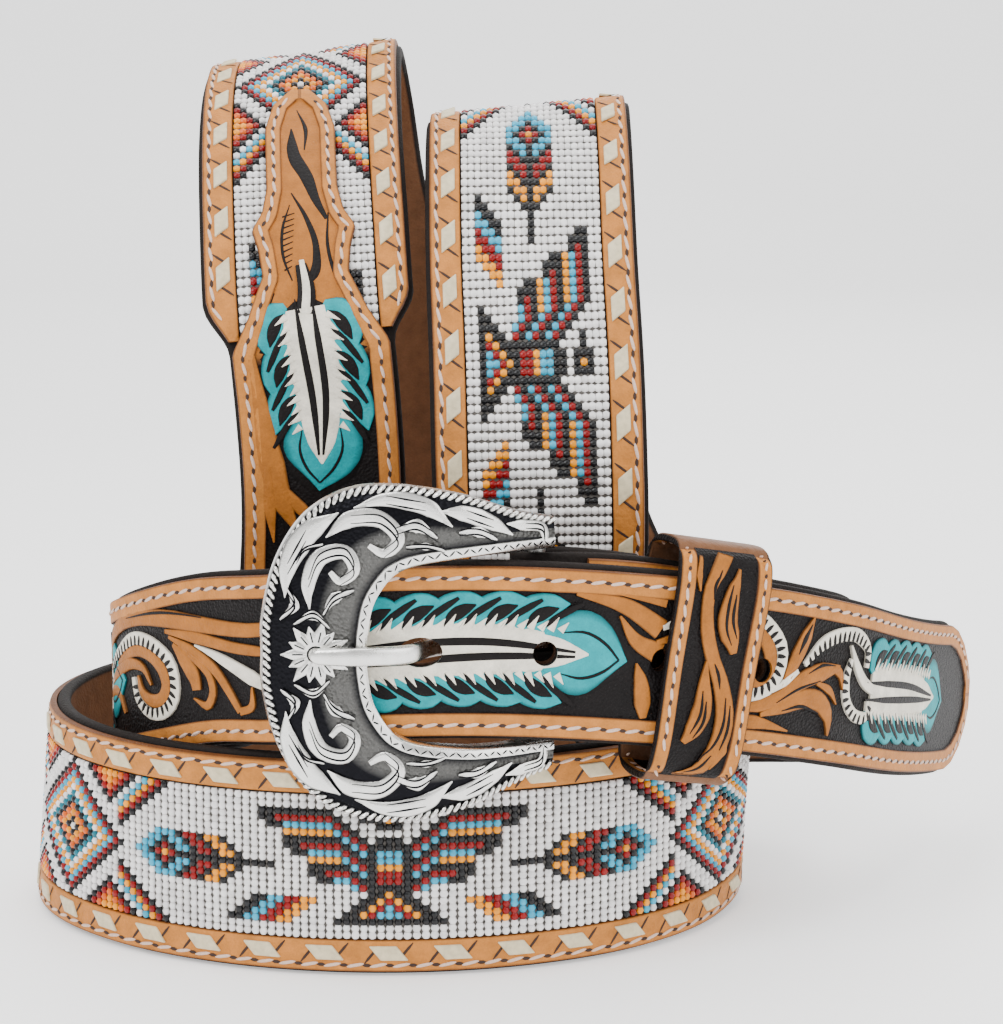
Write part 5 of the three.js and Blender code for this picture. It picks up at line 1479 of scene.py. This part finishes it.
def silver_scrolls():
    """Raised leaves and curls of the frame and its tooth-edged rosette."""
    colours = belt_colours()
    silver, dark = colours.silver[:3], colours.silver_black[:3]
    low, high = -0.1, 0.55
    parts = []
    for side in (1, -1):
        strokes = [
            ([(4.6, 12), (5.2, 18), (9.0, 25), (15.6, 29.8)], [0.2, 3.4, 5.0, 4.2, 0.3]),
            ([(9.6, 9.6), (9.4, 15), (12, 20.5), (17, 21.4), (18.6, 17.6), (15.8, 15.4), (13.8, 17.4)],
                [0.3, 2.8, 3.6, 3.4, 2.9, 2.2, 1.2]),
            ([(12.4, 8.4), (14.4, 11.6), (18.6, 13.6)], [0.3, 2.6, 0.3]),
            ([(13, 24.6), (18, 28.4), (24.4, 28.2), (27.4, 24.2), (24.6, 21.4), (21.6, 23)],
                [0.3, 3.4, 3.8, 3.2, 2.5, 1.2]),
            ([(18.6, 30.8), (25, 32.6), (33, 31.2), (38.6, 26.9)], [0.3, 2.6, 3.8, 3.4, 0.3]),
            ([(26.6, 26), (31, 27.2), (35.4, 24.6)], [0.3, 3.2, 0.3]),
            ([(29, 22.8), (33.4, 22.9), (37, 21.9)], [0.3, 1.8, 0.3]),
            ([(36, 30.2), (41.6, 29.4), (47.6, 27), (52, 24.3)], [0.3, 3.2, 3.6, 2.8, 0.3]),
            ([(40, 25.6), (44, 25.6), (48.4, 23.6)], [0.3, 2.6, 0.3]),
            ([(50.6, 26.8), (55, 26), (59.2, 24.8), (59.6, 22.6), (57.2, 22.4)], [0.3, 2.4, 2.4, 1.9, 0.9]),
            ([(3.6, 7.4), (6.6, 10.6), (5.2, 13.6)], [0.3, 2.4, 0.3]),
            ([(6.4, 6.4), (10.4, 8.2), (13.6, 5.6)], [0.3, 2.2, 0.3]),
            ([(7, 19.4), (8.6, 22), (12.4, 23.2)], [0.3, 1.4, 0.3]),
        ]
        for spine, widths in strokes:
            path = [(along, side * rise) for along, rise in spine]
            parts.append(blade(silver_surface, path, widths, low, high, silver, shade=0.25, steps=36))
            middle = np.asarray(path, float)
            for share in (-0.22, 0.22):
                cut = middle[1:-1] if len(middle) > 3 else middle
                shift = np.array([0, share * max(widths)])
                parts.append(blade(silver_surface, cut + shift, [0.15, 0.45, 0.15], high - 0.1, high + 0.04,
                    dark, steps=24))
    for i in range(14):
        angle = math.radians(i * 360 / 14)
        way = np.array([math.cos(angle), math.sin(angle)])
        middle, reach = np.array([10.8, 0.0]), 7.2 if i % 2 else 6.0
        parts.append(blade(silver_surface, [middle + 1.8 * way, middle + 4.6 * way, middle + reach * way],
            [1.3, 2.5, 0.3], low, high, silver, shade=0.25, steps=9))
        parts.append(blade(silver_surface, [middle + 2.6 * way, middle + 4.8 * way], [0.3, 0.3], high - 0.1,
            high + 0.04, dark, steps=3))
    turns = np.linspace(0, 2 * math.pi, 25)
    circle = np.stack([10.8 + 1.2 * np.cos(turns), 1.2 * np.sin(turns)], axis=1)
    parts.append(blade(silver_surface, circle, [0.7, 0.7], low, high + 0.15, silver, shade=0.25, steps=26))
    return ornament("buckle_scrollwork", parts)


def window_beading():
    """Small slanted bars along the silver line round the window."""
    outer, inner = buckle_rails(24)
    gap = (inner - outer) * np.array([BUCKLE_LENGTH, 1])
    part = 1 - (1.5 / np.linalg.norm(gap, axis=1))[:, None]
    spot = outer + (inner - outer) * part
    path = buckle_point(spot[:, 0], spot[:, 1], np.full(len(spot), 1.0 * BUCKLE_THICKNESS))
    spots, out, along = seam(path, np.tile(HEEL_OUT, (len(path), 1)), 1.5, 0.0)
    zig = np.where(np.arange(len(spots)) % 2 == 0, 1.0, -1.0)[:, None]
    bar = capsule("zigzag_shape", 1.7, 0.34, 0.2, rings=4)
    colours = belt_colours()
    tints = np.tile([*colours.silver_black[:3], 0.0], (len(spots), 1))
    piece = scattered("buckle_zigzag_line", bar, spots, out, along + 0.8 * zig * np.cross(out, along),
        antiqued_silver(), tints=tints)
    bpy.data.objects.remove(bar)
    return piece


TONGUE_WIDTH = 4.0
TONGUE_THICKNESS = 2.4


def tongue_silver():
    """The smooth tongue: round the heel bar, up through the hole in use and on to the frame's side."""
    colours = belt_colours()
    hole_point, hole_along, _, hole_out = (value[0] for value in frames(HOLE_IN_USE_AT))
    middle = (FACE_TOP - BASE_THICKNESS / 2) / 2
    half = (FACE_TOP + BASE_THICKNESS / 2) / 2
    lean = half / math.tan(math.radians(62))
    ring = BAR_RADIUS + 0.3 + TONGUE_THICKNESS / 2
    from_hole = lambda a, o: hole_point + hole_along * a + hole_out * (middle + o)
    from_bar = lambda a, o: BAR_CENTRE + HEEL_ALONG * a + HEEL_OUT * o
    on_side = lambda a: buckle_point(a, 0.0, BUCKLE_THICKNESS + 0.6 + TONGUE_THICKNESS / 2)
    rows = np.array([
        from_bar(0, ring), from_bar(2 * BAR_RADIUS, ring),
            from_hole(-lean - 1.6 * TONGUE_THICKNESS, -half - 1.1 * TONGUE_THICKNESS),
        from_hole(-lean, -half), from_hole(lean, half),
            from_hole(lean + TONGUE_THICKNESS, half + 0.9 * TONGUE_THICKNESS),
        on_side(0.315), on_side(0.15),
    ])
    knots = np.concatenate([[0], np.cumsum(np.linalg.norm(np.diff(rows, axis=0), axis=1) ** 0.5)])
    fine = cubic_through(rows, knots, np.linspace(0, knots[-1], 400))
    length = running_length(fine)
    at = np.concatenate([np.linspace(0, length[-1] - 2.4, 60),
        length[-1] - 2.4 + 2.4 * np.sin(np.linspace(0.15, math.pi / 2, 8))])
    path = np.stack([np.interp(at, length, fine[:, k]) for k in range(3)], axis=1)
    way = unit(np.gradient(path, axis=0))
    edge = unit(HEEL_EDGE - way * (way @ HEEL_EDGE)[:, None])
    front = np.cross(edge, way)
    share = at / length[-1]
    taper = 1 - 0.15 * smooth(share, 0.8, 1)
    close = np.sqrt(np.clip(1 - ((at - (length[-1] - 2.4)) / 2.4).clip(0, 1) ** 2, 0.02, 1))
    turns = np.arange(20) * math.pi / 10
    sections = []
    for t in turns:
        across = np.sign(math.cos(t)) * abs(math.cos(t)) ** 0.6 * TONGUE_WIDTH / 2
        height = np.sign(math.sin(t)) * abs(math.sin(t)) ** 0.7 * TONGUE_THICKNESS / 2
        sections.append(path + edge * (across * taper * close)[:, None] + front * (height * close)[:, None])
    tint = np.array([*colours.silver[:3], 1.0])
    points, faces = loft(np.stack(sections, axis=1))
    parts = [(points, faces, np.tile(tint, (len(points), 1)))]
    rings = []
    for t in np.arange(32) * math.pi / 16:
        way_out = HEEL_ALONG * math.cos(t) + HEEL_OUT * math.sin(t)
        corners = [(BAR_RADIUS + 0.3, -1), (BAR_RADIUS + 0.3, 1), (ring + 0.7, 1), (ring + 1.2, 0.7),
            (ring + 1.2, -0.7), (ring + 0.7, -1)]
        rings.append([BAR_CENTRE + way_out * r + HEEL_EDGE * TONGUE_WIDTH / 2 * w for r, w in corners])
    ring_points, ring_faces = loft(np.array(rings), ring=True)
    parts.append((ring_points, ring_faces, np.tile(tint, (len(ring_points), 1))))
    points, faces, tints = joined(parts)
    return mesh_object("buckle_tongue_silver", points, faces, tints, sharp=50)


# ---- Add-on ----

def colour_property(name, description, default):
    return bpy.props.FloatVectorProperty(name=name, description=description, subtype="COLOR", size=3, min=0,
        max=1, default=default)


def length_property(name, description, default):
    return bpy.props.FloatProperty(name=name, description=description, unit="LENGTH", min=0.0001,
        default=default)


class BeltSizes(bpy.types.PropertyGroup):
    """Sizes of the belt's repeated work."""
    bead_pitch: length_property("Bead pitch", "Distance between beads across the belt", 0.00151)
    stitch_pitch: length_property("Billet stitch pitch",
        "Distance between stitches on the billets and the keeper", 0.00434)
    border_stitch_pitch: length_property("Border stitch pitch",
        "Distance between stitches on the wide borders", 0.005)
    thread_width: length_property("Thread width", "Width of the stitching thread", 0.00072)
    lace_pitch: length_property("Lace pitch", "Distance between visible stretches of lacing", 0.0135)
    rope_pitch: length_property("Rope pitch", "Distance between strands of the buckle's rope edge", 0.00165)


class BeltColours(bpy.types.PropertyGroup):
    """Colours of the belt."""
    tan: colour_property("Tan", "Tan tooling leather", (0.47, 0.176, 0.034))
    carved_tan: colour_property("Carved tan", "Darker tan of the carved leaves", (0.35, 0.122, 0.02))
    tan_burnt: colour_property("Burnt tan", "Darker tan in cuts and along edges", (0.13, 0.045, 0.013))
    dye_black: colour_property("Black dye", "Dyed background of the tooling", (0.006, 0.0045, 0.0045))
    edge_black: colour_property("Edge black", "Blackened edges of the strap", (0.012, 0.009, 0.008))
    lining_brown: colour_property("Lining brown", "Inner side of the strap", (0.16, 0.072, 0.034))
    thread: colour_property("Thread", "Stitching thread", (0.70, 0.50, 0.40))
    lace: colour_property("Lace", "Ivory lacing", (0.66, 0.56, 0.36))
    paint_white: colour_property("White paint", "White of the feathers", (0.76, 0.71, 0.60))
    paint_blue: colour_property("Turquoise paint", "Turquoise of the feathers", (0.004, 0.28, 0.31))
    silver: colour_property("Silver", "Bright silver", (0.80, 0.79, 0.76))
    silver_black: colour_property("Antiquing", "Blackened ground of the silver", (0.010, 0.010, 0.012))
    bead_white: colour_property("White beads", "Chalk white beads", (0.80, 0.78, 0.77))
    bead_black: colour_property("Black beads", "Black beads", (0.006, 0.006, 0.007))
    bead_red: colour_property("Red beads", "Deep red beads", (0.22, 0.001, 0.0015))
    bead_yellow: colour_property("Yellow beads", "Amber yellow beads", (0.82, 0.29, 0.0005))
    bead_blue: colour_property("Blue beads", "Light turquoise blue beads", (0.0311, 0.352, 0.53))
    bead_teal: colour_property("Teal beads", "Dark teal beads", (0.00468, 0.145, 0.2))
    bead_orange: colour_property("Orange beads", "Orange beads", (0.64, 0.105, 0.003))


def dark_hole():
    return thread_material("needle_hole_shadow", (0.035, 0.014, 0.007), 0.8, 900)


def belt_thread():
    return thread_material("waxed_thread", tuple(belt_colours().thread), 0.55, 2600)


class BELT_OT_strap(bpy.types.Operator):
    """The full-length strap with its lining, punched holes and folded heel"""
    bl_idname = "belt.strap"
    bl_label = "Strap"

    def execute(self, context):
        strap_base()
        return {"FINISHED"}


class BELT_OT_billets(bpy.types.Operator):
    """The carved and painted faces of both billets, with their tabs and stitching"""
    bl_idname = "belt.billets"
    bl_label = "Billet faces"

    def execute(self, context):
        carved = leather("carved_leather", 0.5, 0.08, 0.25)
        slot = "carved_leather"
        finished(billet_face("tip_billet_leather", EDGE_REVEAL, TIP_SHOULDER + TAB_LENGTH, TIP_SHOULDER, 1),
            carved, slot, "tip_billet_face")
        start, end = BUCKLE_SHOULDER - TAB_LENGTH, BELT_LENGTH - HEEL_FACE_SETBACK
        finished(billet_face("buckle_billet_leather", start, end, BUCKLE_SHOULDER, -1), carved, slot,
            "buckle_billet_face")
        finished(tip_ornaments(), carved, slot)
        finished(buckle_ornaments(), carved, slot)
        pitch = belt_sizes().stitch_pitch / MM
        seams = billet_seams(EDGE_REVEAL, TIP_SHOULDER + TAB_LENGTH, TIP_SHOULDER, 1, tip_point)
        seams += billet_seams(start, end, BUCKLE_SHOULDER, -1, heel_point)
        for piece in stitch_rows("billet", seams, pitch, belt_thread(), dark_hole()):
            finished(piece, piece.data.materials[0], slot)
        return {"FINISHED"}


class BELT_OT_borders(bpy.types.Operator):
    """The tan borders along the beads, with stitching and ivory lacing"""
    bl_idname = "belt.borders"
    bl_label = "Borders"

    def execute(self, context):
        tan, slot = leather("border_leather", 0.5, 0.08), "border_leather"
        finished(border_strip(1), tan, slot, "border_upper")
        finished(border_strip(-1), tan, slot, "border_lower")
        pitch = belt_sizes().border_stitch_pitch / MM
        lace = thread_material("ivory_lace", tuple(belt_colours().lace), 0.5, 700)
        for piece in stitch_rows("border", border_seams(), pitch, belt_thread(), dark_hole()) + lacing(lace,
            dark_hole()):
            finished(piece, piece.data.materials[0], slot)
        return {"FINISHED"}


class BELT_OT_beads(bpy.types.Operator):
    """The loomed strip of seed beads on its dark backing"""
    bl_idname = "belt.beads"
    bl_label = "Beads"

    def execute(self, context):
        finished(bead_backing(), leather("backing_cloth", 0.85, 0.1), "seed_beads", "bead_panel")
        pieces, glass = bead_rows()
        for piece in pieces:
            finished(piece, glass, "seed_beads")
        return {"FINISHED"}


class BELT_OT_keeper(bpy.types.Operator):
    """The carved keeper loop with its stitched edges"""
    bl_idname = "belt.keeper"
    bl_label = "Keeper"

    def execute(self, context):
        carved, slot = leather("carved_leather", 0.5, 0.08, 0.25), "carved_leather"
        finished(keeper_body(), carved, slot, "keeper_loop")
        finished(keeper_carving(), carved, slot)
        for piece in stitch_rows("keeper", keeper_seams(), 3.6, belt_thread(), dark_hole()):
            finished(piece, piece.data.materials[0], slot)
        return {"FINISHED"}


class BELT_OT_buckle(bpy.types.Operator):
    """The engraved silver frame, its rope edge and scrollwork, and the tongue"""
    bl_idname = "belt.buckle"
    bl_label = "Buckle"

    def execute(self, context):
        silver, slot = antiqued_silver(), "silver_plate"
        finished(frame_silver(), silver, slot, "buckle_frame")
        for piece in (rope_edge(), silver_scrolls(), window_beading()):
            finished(piece, silver, slot)
        finished(tongue_silver(), silver, slot, "buckle_tongue")
        return {"FINISHED"}


class BELT_OT_stage(bpy.types.Operator):
    """The floor, backdrop, lights and camera"""
    bl_idname = "belt.stage"
    bl_label = "Stage"

    def execute(self, context):
        set_stage()
        return {"FINISHED"}


def set_stage():
    """Plain pale floor that sweeps up behind, soft lights and the camera."""
    scene = bpy.context.scene
    profile = [(-1.6, 0.0), (0.9, 0.0), (1.25, 0.06), (1.45, 0.25), (1.5, 0.6), (1.5, 2.2)]
    mesh = bpy.data.meshes.new("floor")
    points = [(x, y, z) for y, z in profile for x in (-2.2, 2.2)]
    mesh.from_pydata(points, [], [(2 * i, 2 * i + 1, 2 * i + 3,
        2 * i + 2) for i in range(len(profile) - 1)])
    mesh.shade_smooth()
    floor = bpy.data.objects.new("floor", mesh)
    scene.collection.objects.link(floor)
    material, _, shader = material_tree("pale_floor")
    shader.inputs["Base Color"].default_value = (0.95, 0.95, 0.95, 1)
    shader.inputs["Roughness"].default_value = 0.6
    shader.inputs["Emission Color"].default_value = (1, 1, 1, 1)
    shader.inputs["Emission Strength"].default_value = 0.5
    floor.data.materials.append(material)
    world = scene.world or bpy.data.worlds.new("studio")
    scene.world = world
    world.use_nodes = True
    world.node_tree.nodes["Background"].inputs["Color"].default_value = (1, 1, 1, 1)
    world.node_tree.nodes["Background"].inputs["Strength"].default_value = 0.9
    middle = Vector((0, 0, 0.09))
    for name, place, size, power in (
        ("key", (-0.55, -0.75, 0.95), 0.7, 13), ("fill", (0.85, -0.65, 0.5), 0.8, 6),
            ("top", (0.05, 0.1, 1.1), 0.9, 9), ("back", (0.3, 0.9, 0.7), 0.8, 4),
    ):
        light = bpy.data.lights.new(name, "AREA")
        light.shape = "SQUARE"
        light.size = size
        light.energy = power
        lamp = bpy.data.objects.new(name, light)
        lamp.location = place
        lamp.rotation_euler = (middle - Vector(place)).to_track_quat("-Z", "Y").to_euler()
        scene.collection.objects.link(lamp)
    lens = bpy.data.cameras.new("camera")
    lens.sensor_width = 36
    lens.lens = 93.16
    lens.clip_start = 0.05
    camera = bpy.data.objects.new("camera", lens)
    camera.location = (-0.005043, -0.617523, 0.18505)
    camera.rotation_euler = (math.radians(81.4), 0, 0)
    scene.collection.objects.link(camera)
    scene.camera = camera


class BELT_PT_panel(bpy.types.Panel):
    """Sizes, colours and steps of the belt"""
    bl_idname = "BELT_PT_panel"
    bl_label = "Beaded belt"
    bl_space_type = "VIEW_3D"
    bl_region_type = "UI"
    bl_category = "Belt"

    def draw(self, context):
        for group in (context.scene.belt_sizes, context.scene.belt_colours):
            for key in group.__annotations__:
                self.layout.prop(group, key)
        for operator in OPERATORS:
            self.layout.operator(operator.bl_idname)


OPERATORS = (BELT_OT_strap, BELT_OT_billets, BELT_OT_borders, BELT_OT_beads, BELT_OT_keeper, BELT_OT_buckle,
    BELT_OT_stage)
CLASSES = (BeltSizes, BeltColours, *OPERATORS, BELT_PT_panel)


def register():
    for each in CLASSES:
        bpy.utils.register_class(each)
    bpy.types.Scene.belt_sizes = bpy.props.PointerProperty(type=BeltSizes)
    bpy.types.Scene.belt_colours = bpy.props.PointerProperty(type=BeltColours)


def unregister():
    del bpy.types.Scene.belt_sizes
    del bpy.types.Scene.belt_colours
    for each in reversed(CLASSES):
        bpy.utils.unregister_class(each)


def main():
    register()
    bpy.ops.belt.strap()
    bpy.ops.belt.billets()
    bpy.ops.belt.borders()
    bpy.ops.belt.beads()
    bpy.ops.belt.keeper()
    bpy.ops.belt.buckle()
    bpy.ops.belt.stage()


if __name__ == "__main__":
    main()
